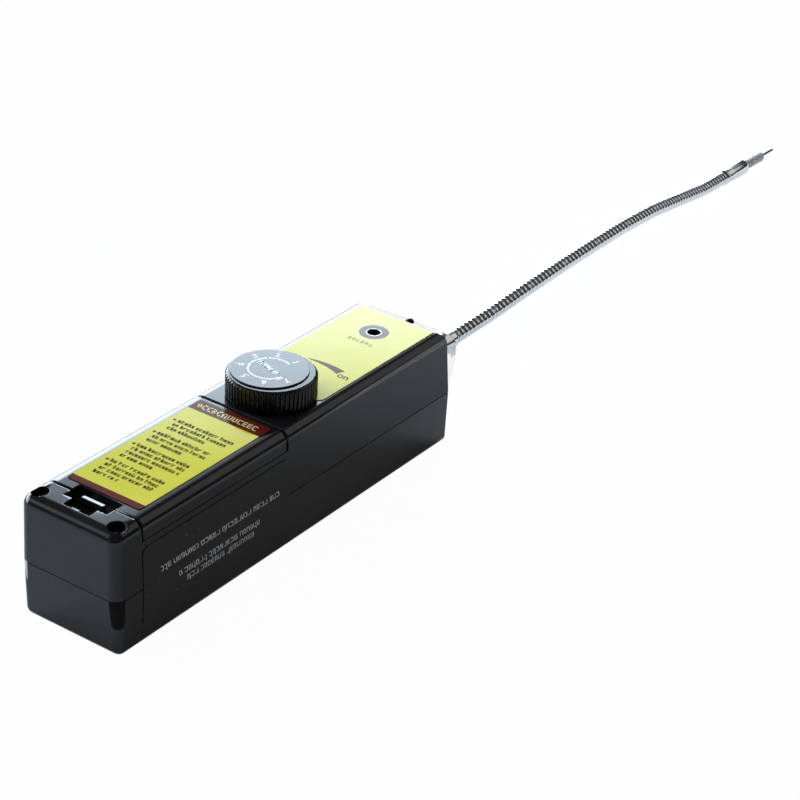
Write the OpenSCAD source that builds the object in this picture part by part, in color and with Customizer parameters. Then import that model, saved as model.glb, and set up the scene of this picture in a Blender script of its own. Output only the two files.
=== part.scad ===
// Hand-held refrigerant leak detector: two-shell case, lift-off battery lid, knob, bendable probe.
// Origin at the middle of the underside, +X towards the probe tip, +Z up, millimetres.

/* [Case] */
// Length of the case
case_l = 180; // [176:1:210]
// Width of the case at the parting line
case_w = 42; // [41:0.5:50]
// Height of the case
case_h = 46; // [45:0.5:52]
// Height of the parting line between the two shells
parting_z = 21.5; // [20:0.25:22]
// Wall thickness of both shells
wall = 2.2; // [1.8:0.1:2.5]
// Radius of the top edges and the battery-end corners
edge_r = 4.2; // [3.6:0.1:4.6]
// Radius of the underside's edges
foot_r = 3; // [2.6:0.1:4]
// Inset of the long sides at the underside that the mould draft gives
draft_low = 0.3; // [0.1:0.1:1]
// Inset of the long sides at the top that the mould draft gives
draft_top = 0.4; // [0.1:0.1:0.8]
// Inset of the battery end at the underside
end_draft_low = 1; // [0.2:0.1:1.4]
// Inset of the battery end at the top
end_draft_top = 0.1; // [0:0.1:0.8]
// How far the probe end leans back at its rounded top
end_lean = 2.3; // [1.5:0.1:2.6]
// Radius of the probe end's top edge
end_r = 2.6; // [2.6:0.1:3.2]
// Diameter of the deep screw holes in the top
screw_hole_d = 6; // [5.6:0.1:6.4]
// Distance of the screw holes from the case's ends
screw_inset = 5.5; // [5:0.1:6.5]
// Distance of the battery-end screws from the middle line
screw_y = 16; // [15:0.1:16.4]
// Distance of the probe-end screws from the probe end
far_screw_inset = 11; // [10:0.5:14]
// Distance of the probe-end screws from the middle line
far_screw_y = 12.6; // [12:0.1:13.4]

/* [Battery lid] */
// Length of the fixed end cap beside the lid
cap_l = 12.1; // [11.5:0.1:13]
// Length of the lid
lid_l = 72; // [70:0.5:74]
// Depth of the lid's skirt below the top
lid_skirt = 7.3; // [6.5:0.1:8]
// Groove between the lid and the case at each end
lid_gap = 0.7; // [0.4:0.1:1]
// Wall thickness of the lid
lid_wall = 2; // [1.6:0.1:2.4]
// Width of the latch recess
latch_w = 18; // [16:0.5:20]
// How far the latch recess reaches into the lid
latch_in_lid = 3.7; // [3.2:0.1:4]
// How far its wide part reaches into the end cap
latch_in_cap = 3.5; // [3:0.1:3.8]
// Width of the finger notch in the end cap
pull_w = 11; // [9:0.5:12]
// Length of the finger notch past the wide part
pull_l = 4.2; // [3.5:0.1:4.4]
// Depth of the latch recess
latch_depth = 3.4; // [3:0.1:4]
// Width of the ridge on the latch tongue
tongue_w = 9; // [8:0.5:10]
// Thickness of that ridge
tongue_t = 1.7; // [1.4:0.1:2]
// How far the ridge reaches across the groove
tongue_reach = 1.1; // [0.8:0.1:1.4]

/* [Labels] */
// Thickness of the printed films
film_t = 0.25; // [0.2:0.05:0.35]
// Half width of the instruction label
lid_label_y = 15.3; // [14:0.1:15.8]
// Distance from the battery end to the instruction label
lid_label_x = 16.9; // [16.6:0.1:18]
// Length of the instruction label
lid_label_l = 66; // [60:0.5:67]
// Half width of the front label
front_label_y = 16.2; // [15:0.1:16.3]
// Distance from the probe end to the front label
front_label_end = 5; // [4.8:0.1:6]
// Gap between the front label and the washer under the knob
front_label_gap = 0.2; // [0.2:0.1:1]
// Corner radius of the front label
front_label_r = 3; // [2:0.5:4]
// Corner radius of the instruction label
lid_label_r = 1; // [0.5:0.25:2]
// Length of the side label
side_label_l = 73.7; // [60:0.5:80]
// Lower edge of the side label
side_label_z = 6.8; // [6:0.1:9]
// Height of the side label
side_label_h = 29.5; // [24:0.5:30]
// Corner radius of the side label
side_label_r = 2.5; // [1:0.5:4]

/* [Knob] */
// Diameter of the knob
knob_d = 31.6; // [28:0.2:34]
// Height of the knob
knob_h = 8.3; // [8:0.1:10]
// Distance from the battery end to the knob's axis
knob_from_end = 102; // [101.5:0.1:106]
// Number of grip flutes
knob_flutes = 60; // [40:4:72]
// Depth of a grip flute
flute_r = 0.55; // [0.4:0.05:0.6]
// Chamfer on the knob's upper rim
knob_chamfer = 0.9; // [0.5:0.1:1.2]
// Diameter of the dial disc on the knob
dial_d = 27.2; // [24:0.2:27.6]
// Thickness of the dial disc
dial_t = 0.5; // [0.3:0.1:0.8]
// How far the dial disc sits off the knob's axis
dial_shift = 0.9; // [0:0.1:1]
// Gap between the knob and the label under it
knob_gap = 0.45; // [0.3:0.05:0.8]

/* [Potentiometer and buzzer] */
// Diameter of the potentiometer's can
pot_d = 17; // [16:0.5:18]
// Depth of the can with its switch
pot_h = 11; // [9:0.5:12]
// Diameter of the threaded bushing
bush_d = 7; // [6.6:0.1:7.4]
// Diameter of the shaft
shaft_d = 6; // [5.8:0.05:6.2]
// Running clearance round the shaft
shaft_play = 0.05; // [0.03:0.01:0.08]
// Diameter of the buzzer
buzzer_d = 13.8; // [12:0.2:14]
// Depth of the buzzer
buzzer_h = 8.5; // [7:0.5:9]
// Distance from the probe end to the buzzer's hole
buzzer_from_end = 19; // [18.6:0.1:22]
// Diameter of the buzzer's sound hole
sound_hole_d = 5; // [4:0.2:6]

/* [Battery] */
// Diameter of a cell
cell_d = 14.5; // [14:0.1:14.6]
// Length of a cell over its terminals
cell_l = 50.5; // [49.5:0.5:51]
// Distance between the two cells' axes
cell_pitch = 15.6; // [15:0.2:16]
// Room that each contact spring fills
spring_l = 6.5; // [5.5:0.1:7]
// Wire diameter of the contact springs
spring_wire = 0.8; // [0.6:0.1:0.9]

/* [Probe] */
// Height of the probe's axis where it leaves the case
probe_z = 23.2; // [22.6:0.1:24]
// Outer diameter of the bendable hose
hose_d = 5.8; // [5.4:0.1:6.2]
// Diameter at the bottom of its grooves
groove_d = 4.8; // [4.4:0.1:5]
// Distance from one ridge to the next
ridge_pitch = 2.63; // [2.5:0.01:2.8]
// Ridges in each bending length
seg_ridges = 10; // [8:1:12]
// Gap at each bend
bend_gap = 0.95; // [0.9:0.01:0.98]
// Length of the smooth base ferrule outside the case
ferrule_l = 32.5; // [28:0.5:36]
// Diameter of the base ferrule
ferrule_d = 6.6; // [6.2:0.1:7]
// Length of the tip ferrule
tip_l = 23.4; // [18:0.2:26]
// Largest diameter of the tip ferrule
tip_d = 7; // [6:0.1:7.4]
// Length of the sensor's guard sleeve
sleeve_l = 19.4; // [16:0.2:22]
// Diameter of the guard sleeve
sleeve_d = 4.4; // [4:0.1:5]
// Free length of the sensor needle
needle_l = 14.7; // [8:0.1:16]
// Diameter of the sensor needle
needle_d = 1; // [0.8:0.1:1.4]

/* [Nose lens] */
// How far the lens stands out of the probe end
lens_out = 4; // [3.4:0.1:5]
// Distance of the lens's top edge below the case's top
lens_drop = 3.1; // [2.6:0.1:3.6]
// Height of the upright part of its front
lens_front_h = 10; // [8:0.5:12]

/* [Hidden] */
$fn = 48;
hull_fn = 32;
eps = 0.01;
seat_gap = 0.02;

black = "#1d1e20";
chrome = "#c4c8cc";
near_x = -case_l / 2;
far_x = case_l / 2;
half_w = case_w / 2;
top_in = case_h - wall;
edge_z = case_h - edge_r;
end_reach = [end_lean + end_r, case_h - end_r - parting_z];
end_tilt = atan2(end_reach.x, end_reach.y) - asin(end_r / norm(end_reach));
seam_h = 0.4;
seam_d = 0.4;

// Lid and battery bay
cut_x0 = near_x + cap_l;
cut_x1 = cut_x0 + lid_l + 2 * lid_gap;
lid_x0 = cut_x0 + lid_gap;
lid_x1 = lid_x0 + lid_l;
lid_z = case_h - lid_skirt;
bulkhead_t = 2;
tray_t = 2;
tray_z = parting_z + tray_t;
cell_z = tray_z + cell_d / 2;
cell_y = cell_pitch / 2;
plate_t = 0.5;
contact_wall_t = 1.6;
nub_d = 5.5;
nub_l = 1.3;
bay_mid = (cut_x0 + cut_x1) / 2;
bay_half = (cell_l + spring_l) / 2 + plate_t;
bay_x0 = bay_mid - bay_half;
bay_x1 = bay_mid + bay_half;
contact_half = 5;
contact_z = cell_z + contact_half;
contact_wall_z = contact_z + 2;
cell_bevel = 0.7;
rail_t = 1.5;
rail_h = 7;
rail_play = 0.3;
label_flat_z = case_h + film_t;
pocket_t = 1.4;
lip_t = 1.2;
lip_h = 2;
lip_play = 0.3;
lip_inset = 8;
latch_z = case_h - latch_depth;
tongue_foot_z = latch_z + 0.5;
tongue_top_z = case_h - 0.6;

// Screws and bosses
screw_d = 2.9;
screw_head_d = 5.2;
screw_head_h = 2.2;
screw_bite = 10;
boss_r = 3.4;
tube_wall = 0.9;
tube_r = screw_hole_d / 2 + tube_wall;
seat_t = 3;
screw_play = 0.4;
screw_end_gap = 0.5;
cross_margin = 1;
cross_w = 0.8;
screw_spots = [
    [near_x + screw_inset, screw_y], [near_x + screw_inset, -screw_y],
    [far_x - far_screw_inset, far_screw_y], [far_x - far_screw_inset, -far_screw_y]
];

// Knob stack
knob_x = near_x + knob_from_end;
washer_t = 0.5;
washer_d = 11.6;
nut_t = 2;
nut_af = 10;
knob_z = label_flat_z + knob_gap;
knob_top = knob_z + knob_h;
knob_rim = 3;
knob_roof = 1.8;
hub_wall = 2.5;
shaft_cover = 1.2;
shaft_depth = 6;
thread_rise = 0.4;
hub_lift = 0.4;
flat_lift = 0.2;
flat_cut = 1.5;
bush_play = 0.2;
shaft_top = knob_top - shaft_cover;
shaft_foot = top_in - shaft_depth;
bush_top = case_h + washer_t + nut_t + thread_rise;
hub_z = bush_top + hub_lift;
pin_pitch = 5;
pin_w = 1.6;
pin_t = 0.6;
pin_l = 5;
pin_drop = 4;

// Board and its parts
board_gap = 6;
board_end_gap = 14.1;
board_side_gap = 4.5;
board_x = cut_x1 + board_gap;
board_l = far_x - far_screw_inset - boss_r - board_end_gap - board_x;
board_w = case_w - 2 * board_side_gap;
board_t = 1.6;
board_z = 8;
post_r = 2.6;
board_hole_in = 4;
board_screw_d = 2.2;
board_screw_l = 5;
board_head_d = 4.2;
board_head_h = 1.6;
board_spots = [
    for (x = [board_x + board_hole_in, board_x + board_l - board_hole_in])
        for (y = [-1, 1]) [x, y * (board_w / 2 - board_hole_in)]
];
board_top = board_z + board_t;
buzzer_x = far_x - buzzer_from_end;
collar_t = 1.3;
collar_h = 5;
buzzer_port_d = 2;
buzzer_port_h = 1.5;
core = [19, 16, 15];
core_edge_gap = 2;
core_at = board_l - core.x / 2 - core_edge_gap;
bobbin = [13, 21, 9];
bobbin_lift = 3;
can_at = [16, 8];
can_d = 8;
can_h = 11.5;
can_lip = 0.5;
chip_at = [11, -7.8];
chip_size = [10, 6.4, 3];
chip_lift = 0.4;
leg_pitch = 2.54;
leg_first = 1;
leg_w = 0.5;
leg_reach = 0.8;
leg_h = 2;

// Probe chain: elevation and heading of each bending length as the probe lies
seg_elev = [0, 1.5, 0, -1.2, -2.5, -5.2, -9, -9.5, -5.5];
seg_head = [0.8, 1.2, 1.7, 2.1, 2.6, 3, 3.4, 3.8, 4.3];
seg_count = len(seg_elev);
last_ridges = seg_ridges - 2;
hose_x = far_x + ferrule_l + bend_gap / 2;
ridge_foot = 1.5;
ridge_crest = 0.8;
flange_d = 12;
flange_t = 2;
probe_nut_af = 10;
probe_nut_t = 3;
flange_play = 0.4;
ferrule_lead = 3;
ferrule_nip = 0.3;
tip_taper_l = 12.5;
tip_lead = 0.8;
tip_round_l = 2;
tip_round = 0.4;
sleeve_bevel = 0.8;

// Lens on the probe end
lens_z = case_h - lens_drop;
lens_foot_z = parting_z + 0.4;
lens_foot_t = 0.5;
lens_bevel = 1.2;
nut_room = 1.2;
nose_screw_d = 2;
nose_screw_l = 5.5;
nose_dome_d = 3.8;
nose_dome_sink = 0.6;
nose_screw_x = far_x + lens_out / 2 - 0.6;
nose_screw_shift = 1.3;

function seg_dir(i) = [
    cos(seg_elev[i]) * cos(seg_head[i]),
    cos(seg_elev[i]) * sin(seg_head[i]),
    sin(seg_elev[i])
];
function seg_ends(i) = (i == seg_count - 1 ? last_ridges : seg_ridges) * ridge_pitch;
function seg_start(i) = i == 0 ? [hose_x, 0, probe_z] : seg_start(i - 1) + seg_ends(i - 1) * seg_dir(i - 1);

// Side of the case at a height, as a distance from the middle line
function side_y(z) = z > parting_z
    ? half_w - draft_top * (z - parting_z) / (edge_z - parting_z)
    : half_w - draft_low * (parting_z - z) / (parting_z - foot_r);

// Probe end of the upper half at a height
function end_x(z) = far_x - (z - parting_z) * tan(end_tilt);

// Flat rounded rectangle with true arcs, centred
module rounded_rect(size, r) {
    square([size.x - 2 * r, size.y], center = true);
    square([size.x, size.y - 2 * r], center = true);
    for (x = [-1, 1])
        for (y = [-1, 1])
            translate([x * (size.x / 2 - r), y * (size.y / 2 - r)]) circle(r);
}

// Thin outline of the case at the parting plane, shrunk by skin, square at the probe end
module parting_outline(skin, end) {
    for (side = [-1, 1])
        translate([near_x + edge_r, side * (half_w - edge_r), 0])
            cylinder(r = edge_r - skin, h = eps, $fn = hull_fn);
    block([end - eps, -half_w + skin, 0], [end, half_w - skin, eps]);
}

// Corners that the long edges of one half run between, shrunk by skin
module edge_corners(r, side_draft, end_draft, skin, end) {
    for (side = [-1, 1])
        translate([0, side * (half_w - r - side_draft), 0]) {
            translate([near_x + r + end_draft, 0, 0]) sphere(r = r - skin, $fn = hull_fn);
            translate([end - eps, 0, 0]) rotate([0, 90, 0]) rotate(180 / hull_fn)
                cylinder(r = r - skin, h = eps, $fn = hull_fn);
        }
}

// Upper half seen from the side, shrunk by skin, with the leaning probe end and its rounded top
module leaning_end(skin) {
    translate([0, case_w, 0]) rotate([90, 0, 0]) linear_extrude(2 * case_w) hull() {
        translate([near_x - 1, parting_z - 1]) square([case_l + 1 + tan(end_tilt) - skin, eps]);
        translate([far_x - end_lean - end_r, case_h - end_r]) circle(end_r - skin, $fn = hull_fn);
        translate([near_x - 1, case_h - end_r]) square([eps, end_r - skin]);
    }
}

// Upper half of the case as a solid, shrunk by skin
module upper_form(skin) {
    intersection() {
        hull() {
            translate([0, 0, parting_z]) parting_outline(skin, far_x + 1);
            translate([0, 0, edge_z]) edge_corners(edge_r, draft_top, end_draft_top, skin, far_x + 1);
        }
        leaning_end(skin);
    }
}

// Lower half of the case as a solid, shrunk by skin
module lower_form(skin) {
    hull() {
        translate([0, 0, parting_z - eps]) parting_outline(skin, far_x - skin);
        translate([0, 0, foot_r]) edge_corners(foot_r, draft_low, end_draft_low, skin, far_x - skin);
    }
}

// Block between two corners
module block(low, high) {
    translate(low) cube(high - low);
}

// Latch recess seen from above, open through the lid's edge
module latch_outline() {
    translate([cut_x0 - latch_in_cap, -latch_w / 2])
        square([latch_in_cap + lid_gap + latch_in_lid, latch_w]);
    translate([cut_x0 - latch_in_cap - pull_l, -pull_w / 2]) square([pull_l + eps, pull_w]);
}

// Passage for the probe's ferrule through the end wall, straight-sided down to the parting plane
module probe_passage(r) {
    translate([far_x - wall - edge_r, 0, probe_z]) rotate([0, 90, 0])
        cylinder(r = r, h = 2 * (wall + edge_r));
    block([far_x - wall - edge_r, -r, parting_z], [far_x + wall + edge_r, r, probe_z]);
}

// Block that the latch recess is sunk into, hung under the top between two places along the case
module latch_pocket(x0, x1, roof_z) {
    block([x0, -latch_w / 2 - pocket_t, latch_z - pocket_t], [x1, latch_w / 2 + pocket_t, roof_z]);
}

// Floor, bulkheads, contact walls and rails of the battery bay
module tray() {
    floor_y = half_w - wall / 2;
    wall_y = side_y(edge_z) - wall / 2;
    crown_y = side_y(edge_z) - edge_r;
    block([cut_x0 - bulkhead_t, -floor_y, parting_z], [cut_x1 + bulkhead_t, floor_y, tray_z]);
    for (x = [cut_x0 - bulkhead_t, cut_x1]) {
        block([x, -wall_y, parting_z], [x + bulkhead_t, wall_y, edge_z]);
        block([x, -crown_y, edge_z - eps], [x + bulkhead_t, crown_y, top_in + eps]);
    }
    for (x = [bay_x0 - contact_wall_t, bay_x1])
        block([x, -cell_pitch, tray_z - eps], [x + contact_wall_t, cell_pitch, contact_wall_z]);
    for (side = [-1, 1])
        translate([0, side * (cell_y + cell_d / 2 + rail_play + rail_t / 2), tray_z - eps])
            block([bay_x0, -rail_t / 2, 0], [bay_x1, rail_t / 2, rail_h]);
}

module upper_case() {
    color(black) difference() {
        union() {
            difference() {
                upper_form(0);
                translate([0, 0, -eps]) upper_form(wall);
            }
            tray();
            latch_pocket(cut_x0 - latch_in_cap - pull_l - pocket_t, cut_x0, top_in + eps);
            for (spot = screw_spots)
                translate([spot.x, spot.y, parting_z]) cylinder(r = tube_r, h = top_in - parting_z + eps);
            translate([buzzer_x, 0, top_in - collar_h])
                cylinder(d = buzzer_d + 2 * collar_t, h = collar_h + eps);
        }
        block([cut_x0, -case_w, lid_z], [cut_x1, case_w, case_h + 1]);
        translate([0, 0, latch_z]) linear_extrude(latch_depth + 1) latch_outline();
        for (spot = screw_spots) {
            translate([spot.x, spot.y, parting_z + seat_t]) cylinder(d = screw_hole_d, h = case_h);
            translate([spot.x, spot.y, parting_z - 1]) cylinder(d = screw_d + screw_play, h = case_h);
        }
        translate([knob_x, 0, top_in - 1]) cylinder(d = bush_d + bush_play, h = wall + 2);
        translate([buzzer_x, 0, top_in - collar_h - 1])
            cylinder(d = buzzer_d + 2 * seat_gap, h = collar_h + 1);
        translate([buzzer_x, 0, top_in - 1]) cylinder(d = sound_hole_d, h = wall + 2);
        probe_passage(ferrule_d / 2 + seat_gap);
    }
}

module lower_case() {
    color(black) difference() {
        union() {
            difference() {
                lower_form(0);
                translate([0, 0, eps]) lower_form(wall);
            }
            for (spot = screw_spots)
                translate([spot.x, spot.y, wall - eps]) cylinder(r = boss_r, h = parting_z - wall + eps);
            for (spot = board_spots)
                translate([spot.x, spot.y, wall - eps]) cylinder(r = post_r, h = board_z - wall + eps);
        }
        for (spot = screw_spots)
            translate([spot.x, spot.y, parting_z - screw_bite])
                cylinder(d = screw_d + 2 * seat_gap, h = screw_bite + 1);
        for (spot = board_spots)
            translate([spot.x, spot.y, board_top - board_screw_l])
                cylinder(d = board_screw_d + 2 * seat_gap, h = board_screw_l + 1);
        translate([far_x - wall - edge_r, 0, probe_z]) rotate([0, 90, 0])
            cylinder(d = ferrule_d + 2 * seat_gap, h = 2 * (wall + edge_r));
        difference() {
            block([near_x - 1, -case_w, parting_z - seam_h], [far_x + 1, case_w, parting_z + 1]);
            lower_form(seam_d);
        }
    }
}

module battery_lid() {
    in_y = half_w - wall;
    color(black) {
        difference() {
            union() {
                difference() {
                    intersection() {
                        upper_form(0);
                        block([lid_x0, -case_w, lid_z], [lid_x1, case_w, case_h + 1]);
                    }
                    block([lid_x0 + lid_wall, -in_y, lid_z], [lid_x1 - lid_wall, in_y, case_h - lid_wall]);
                    block([lid_x0 - 1, -in_y, lid_z - 1], [lid_x1 + 1, in_y, latch_z - pocket_t]);
                }
                latch_pocket(lid_x0, lid_x0 + latch_in_lid + pocket_t, case_h - lid_wall + eps);
            }
            translate([0, 0, latch_z]) linear_extrude(latch_depth + 1) latch_outline();
        }
        block([lid_x0 - tongue_reach, -tongue_w / 2, tongue_foot_z], [lid_x0, tongue_w / 2, tongue_top_z]);
        block([lid_x0 - eps, -tongue_w / 2, latch_z - eps],
            [lid_x0 + tongue_t - tongue_reach, tongue_w / 2, tongue_top_z]);
        for (side = [-1, 1])
            translate([0, side * (side_y(lid_z) - wall - lip_play - lip_t / 2), 0])
                block([lid_x0 + lip_inset, -lip_t / 2, lid_z - lip_h],
                    [lid_x1 - lip_inset, lip_t / 2, case_h - lid_wall + eps]);
    }
}

module instruction_label() {
    color("#d0d25f") translate([near_x + lid_label_x + lid_label_l / 2, 0, case_h])
        linear_extrude(film_t) rounded_rect([lid_label_l, 2 * lid_label_y], lid_label_r);
}

module front_label() {
    label_x0 = knob_x + washer_d / 2 + front_label_gap;
    label_l = far_x - front_label_end - label_x0;
    label_mid = label_x0 + label_l / 2;
    color("#d0d25f") translate([0, 0, case_h]) difference() {
        linear_extrude(film_t) {
            translate([label_mid, 0]) rounded_rect([label_l, 2 * front_label_y], front_label_r);
            translate([label_mid, -front_label_y]) square([label_l / 2, 2 * front_label_y]);
        }
        translate([buzzer_x, 0, -1]) cylinder(d = sound_hole_d, h = 2);
    }
}

module side_label() {
    low_z = side_label_z;
    high_z = side_label_z + side_label_h;
    film = [
        [-side_y(low_z) - seat_gap, low_z], [-half_w - seat_gap, parting_z],
        [-side_y(high_z) - seat_gap, high_z], [-side_y(high_z) - film_t, high_z],
        [-half_w - film_t, parting_z], [-side_y(low_z) - film_t, low_z]
    ];
    color("#17181a") intersection() {
        translate([near_x, 0, 0]) rotate([90, 0, 90]) linear_extrude(case_l) polygon(film);
        translate([cut_x0 + side_label_l / 2, 0, low_z + side_label_h / 2]) rotate([90, 0, 0])
            linear_extrude(case_w) rounded_rect([side_label_l, side_label_h], side_label_r);
    }
}

module nose_lens() {
    knee_z = lens_z - lens_front_h;
    front_x = far_x + lens_out;
    profile = [
        [end_x(lens_foot_z) + seat_gap, lens_foot_z], [far_x + lens_foot_t, lens_foot_z], [front_x, knee_z],
        [front_x, lens_z - lens_bevel], [front_x - lens_bevel, lens_z], [end_x(lens_z) + seat_gap, lens_z]
    ];
    color("#e9ecee", 0.9) difference() {
        intersection() {
            translate([0, half_w, 0]) rotate([90, 0, 0]) linear_extrude(case_w) polygon(profile);
            translate([far_x - edge_r, 0, (lens_z + lens_foot_z - edge_r) / 2]) rotate([90, 0, 90])
                linear_extrude(2 * edge_r + lens_out)
                    rounded_rect([2 * side_y(edge_z), lens_z - lens_foot_z + edge_r], edge_r);
        }
        probe_passage(probe_nut_af / 2 + nut_room);
        translate([nose_screw_x, -nose_screw_shift, lens_z - nose_screw_l - 1])
            cylinder(d = nose_screw_d + 2 * seat_gap, h = nose_screw_l + 2);
    }
}

module nose_screw() {
    color(black) translate([nose_screw_x, -nose_screw_shift, lens_z]) {
        intersection() {
            translate([0, 0, -nose_dome_sink]) sphere(d = nose_dome_d);
            translate([0, 0, nose_dome_d / 2]) cube(nose_dome_d, center = true);
        }
        translate([0, 0, -nose_screw_l]) cylinder(d = nose_screw_d, h = nose_screw_l + eps);
    }
}

// Cross-head screw with its head's seat at the origin
module screw(shank_d, shank_l, head_d, head_h) {
    difference() {
        cylinder(d = head_d, h = head_h);
        for (turn = [0, 90])
            rotate(turn) translate([0, 0, head_h])
                cube([head_d - 2 * cross_margin, cross_w, head_h], center = true);
    }
    translate([0, 0, -shank_l]) cylinder(d = shank_d, h = shank_l + eps);
}

module case_screws() {
    color("silver") for (spot = screw_spots)
        translate([spot.x, spot.y, parting_z + seat_t])
            screw(screw_d, seat_t + screw_bite - screw_end_gap, screw_head_d, screw_head_h);
}

module knob() {
    color("#161719") translate([knob_x, 0, 0]) difference() {
        intersection() {
            translate([0, 0, knob_z]) linear_extrude(knob_h) difference() {
                circle(d = knob_d, $fn = 96);
                for (i = [0 : knob_flutes - 1])
                    rotate(i * 360 / knob_flutes) translate([knob_d / 2, 0]) circle(flute_r, $fn = 16);
            }
            rotate_extrude($fn = 96) polygon([
                [0, knob_z], [knob_d / 2, knob_z], [knob_d / 2, knob_top - knob_chamfer],
                [knob_d / 2 - knob_chamfer, knob_top], [0, knob_top]
            ]);
        }
        difference() {
            translate([0, 0, knob_z - 1])
                cylinder(d = knob_d - 2 * knob_rim, h = knob_h - knob_roof + 1);
            translate([0, 0, hub_z]) cylinder(d = shaft_d + 2 * hub_wall, h = knob_h);
        }
        intersection() {
            translate([0, 0, knob_z - 1])
                cylinder(d = shaft_d + 2 * seat_gap, h = shaft_top - knob_z + 1 + seat_gap);
            block([-shaft_d, -shaft_d, knob_z - 2], [shaft_d / 2 - flat_cut + seat_gap, shaft_d, knob_top]);
        }
    }
}

module dial_plate() {
    color("#8a9097") translate([knob_x, dial_shift, knob_top]) cylinder(d = dial_d, h = dial_t);
}

module pot_shaft() {
    color("silver") translate([knob_x, 0, 0]) difference() {
        translate([0, 0, shaft_foot]) cylinder(d = shaft_d, h = shaft_top - shaft_foot);
        block([shaft_d / 2 - flat_cut, -shaft_d, bush_top + flat_lift], [shaft_d, shaft_d, knob_top]);
    }
}

module potentiometer() {
    pin_z = top_in - pin_drop;
    color("#9c8a52") translate([knob_x, 0, 0]) difference() {
        union() {
            translate([0, 0, top_in - pot_h]) cylinder(d = pot_d, h = pot_h - seat_gap);
            translate([0, 0, top_in - eps - 1]) cylinder(d = bush_d, h = bush_top - top_in + 1 + eps);
            for (y = [-pin_pitch, 0, pin_pitch])
                block([0, y - pin_w / 2, pin_z], [pot_d / 2 + pin_l, y + pin_w / 2, pin_z + pin_t]);
        }
        translate([0, 0, shaft_foot - shaft_play]) cylinder(d = shaft_d + 2 * shaft_play, h = case_h);
    }
}

module pot_washer() {
    color("silver") translate([knob_x, 0, case_h]) difference() {
        cylinder(d = washer_d, h = washer_t);
        translate([0, 0, -1]) cylinder(d = bush_d + 2 * seat_gap, h = washer_t + 2);
    }
}

module hex_nut(af, bore, t) {
    difference() {
        cylinder(d = af / cos(30), h = t, $fn = 6);
        translate([0, 0, -1]) cylinder(d = bore, h = t + 2);
    }
}

module pot_nut() {
    color("silver") translate([knob_x, 0, case_h + washer_t]) hex_nut(nut_af, bush_d + 2 * seat_gap, nut_t);
}

module buzzer() {
    color("#141414") translate([buzzer_x, 0, top_in - buzzer_h]) difference() {
        cylinder(d = buzzer_d, h = buzzer_h);
        translate([0, 0, buzzer_h - buzzer_port_h]) cylinder(d = buzzer_port_d, h = buzzer_port_h + 1);
    }
}

module circuit_board() {
    color("#2d6b3c") difference() {
        block([board_x, -board_w / 2, board_z], [board_x + board_l, board_w / 2, board_top]);
        for (spot = board_spots)
            translate([spot.x, spot.y, board_z - 1])
                cylinder(d = board_screw_d + screw_play, h = board_t + 2);
    }
}

module board_screws() {
    color("silver") for (spot = board_spots)
        translate([spot.x, spot.y, board_top])
            screw(board_screw_d, board_screw_l - screw_end_gap, board_head_d, board_head_h);
}

module transformer() {
    color("#4a4f55") translate([board_x + core_at, 0, board_top]) {
        translate([-core.x / 2, -core.y / 2, 0]) cube(core);
        translate([-bobbin.x / 2, -bobbin.y / 2, bobbin_lift]) cube(bobbin);
    }
}

module capacitor() {
    color("#26356b") translate([board_x + can_at.x, can_at.y, board_top]) {
        cylinder(d = can_d, h = can_h);
        translate([0, 0, can_h - eps]) cylinder(d = can_d - 2 * can_lip, h = can_lip);
    }
}

module chip() {
    side_y = chip_size.y / 2;
    color("#202020") translate([board_x + chip_at.x, chip_at.y, board_top]) {
        translate([0, -side_y, chip_lift]) cube(chip_size);
        for (i = [0 : 3])
            for (turn = [0, 180])
                translate([leg_first + leg_w / 2 + i * leg_pitch, 0, 0]) rotate(turn)
                    block([-leg_w / 2, side_y - eps, 0], [leg_w / 2, side_y + leg_reach, leg_h]);
    }
}

// One cell along +X with its button at the far end
module cell() {
    rotate([0, 90, 0]) rotate_extrude() polygon([
        [0, 0], [cell_d / 2 - cell_bevel, 0], [cell_d / 2, cell_bevel],
        [cell_d / 2, cell_l - nub_l - cell_bevel], [cell_d / 2 - cell_bevel, cell_l - nub_l],
        [nub_d / 2, cell_l - nub_l], [nub_d / 2, cell_l], [0, cell_l]
    ]);
}

module battery_cells() {
    color("#5d6670") {
        translate([bay_x1 - plate_t - cell_l, -cell_y, cell_z]) cell();
        translate([bay_x0 + plate_t + cell_l, cell_y, cell_z]) mirror([1, 0, 0]) cell();
    }
}

module contact_plate(x, y0, y1) {
    block([x, y0, tray_z], [x + plate_t, y1, contact_z]);
}

module bridge_contact() {
    color("silver") contact_plate(bay_x0, -cell_y - contact_half, cell_y + contact_half);
}

module terminal_contacts() {
    color("silver") for (side = [-1, 1])
        contact_plate(bay_x1 - plate_t, side * cell_y - contact_half, side * cell_y + contact_half);
}

// Conical wire spring along +X from its wide foot, swept from rings of wire
module contact_spring() {
    turns = 3.5;
    steps = 14;
    sides = 6;
    foot_r = 4.6;
    tip_r = 3;
    wire_r = spring_wire / 2;
    rings = turns * steps;
    run = spring_l - spring_wire - 2 * seat_gap;
    function spot(i) = let (t = i / rings, a = 360 * turns * t, r = foot_r + (tip_r - foot_r) * t)
        [wire_r + seat_gap + run * t, r * cos(a), r * sin(a)];
    function ring_point(i, k) = let (a = 360 * turns * i / rings, b = 360 * k / sides)
        spot(i) + wire_r * [sin(b), cos(b) * cos(a), cos(b) * sin(a)];
    points = [for (i = [0 : rings]) for (k = [0 : sides - 1]) ring_point(i, k)];
    walls = [
        for (i = [0 : rings - 1])
            for (k = [0 : sides - 1])
                let (a = i * sides + k, b = i * sides + (k + 1) % sides)
                    [a, b, b + sides, a + sides]
    ];
    first = [for (k = [sides - 1 : -1 : 0]) k];
    last = [for (k = [0 : sides - 1]) rings * sides + k];
    polyhedron(points, concat(walls, [first], [last]));
}

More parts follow.
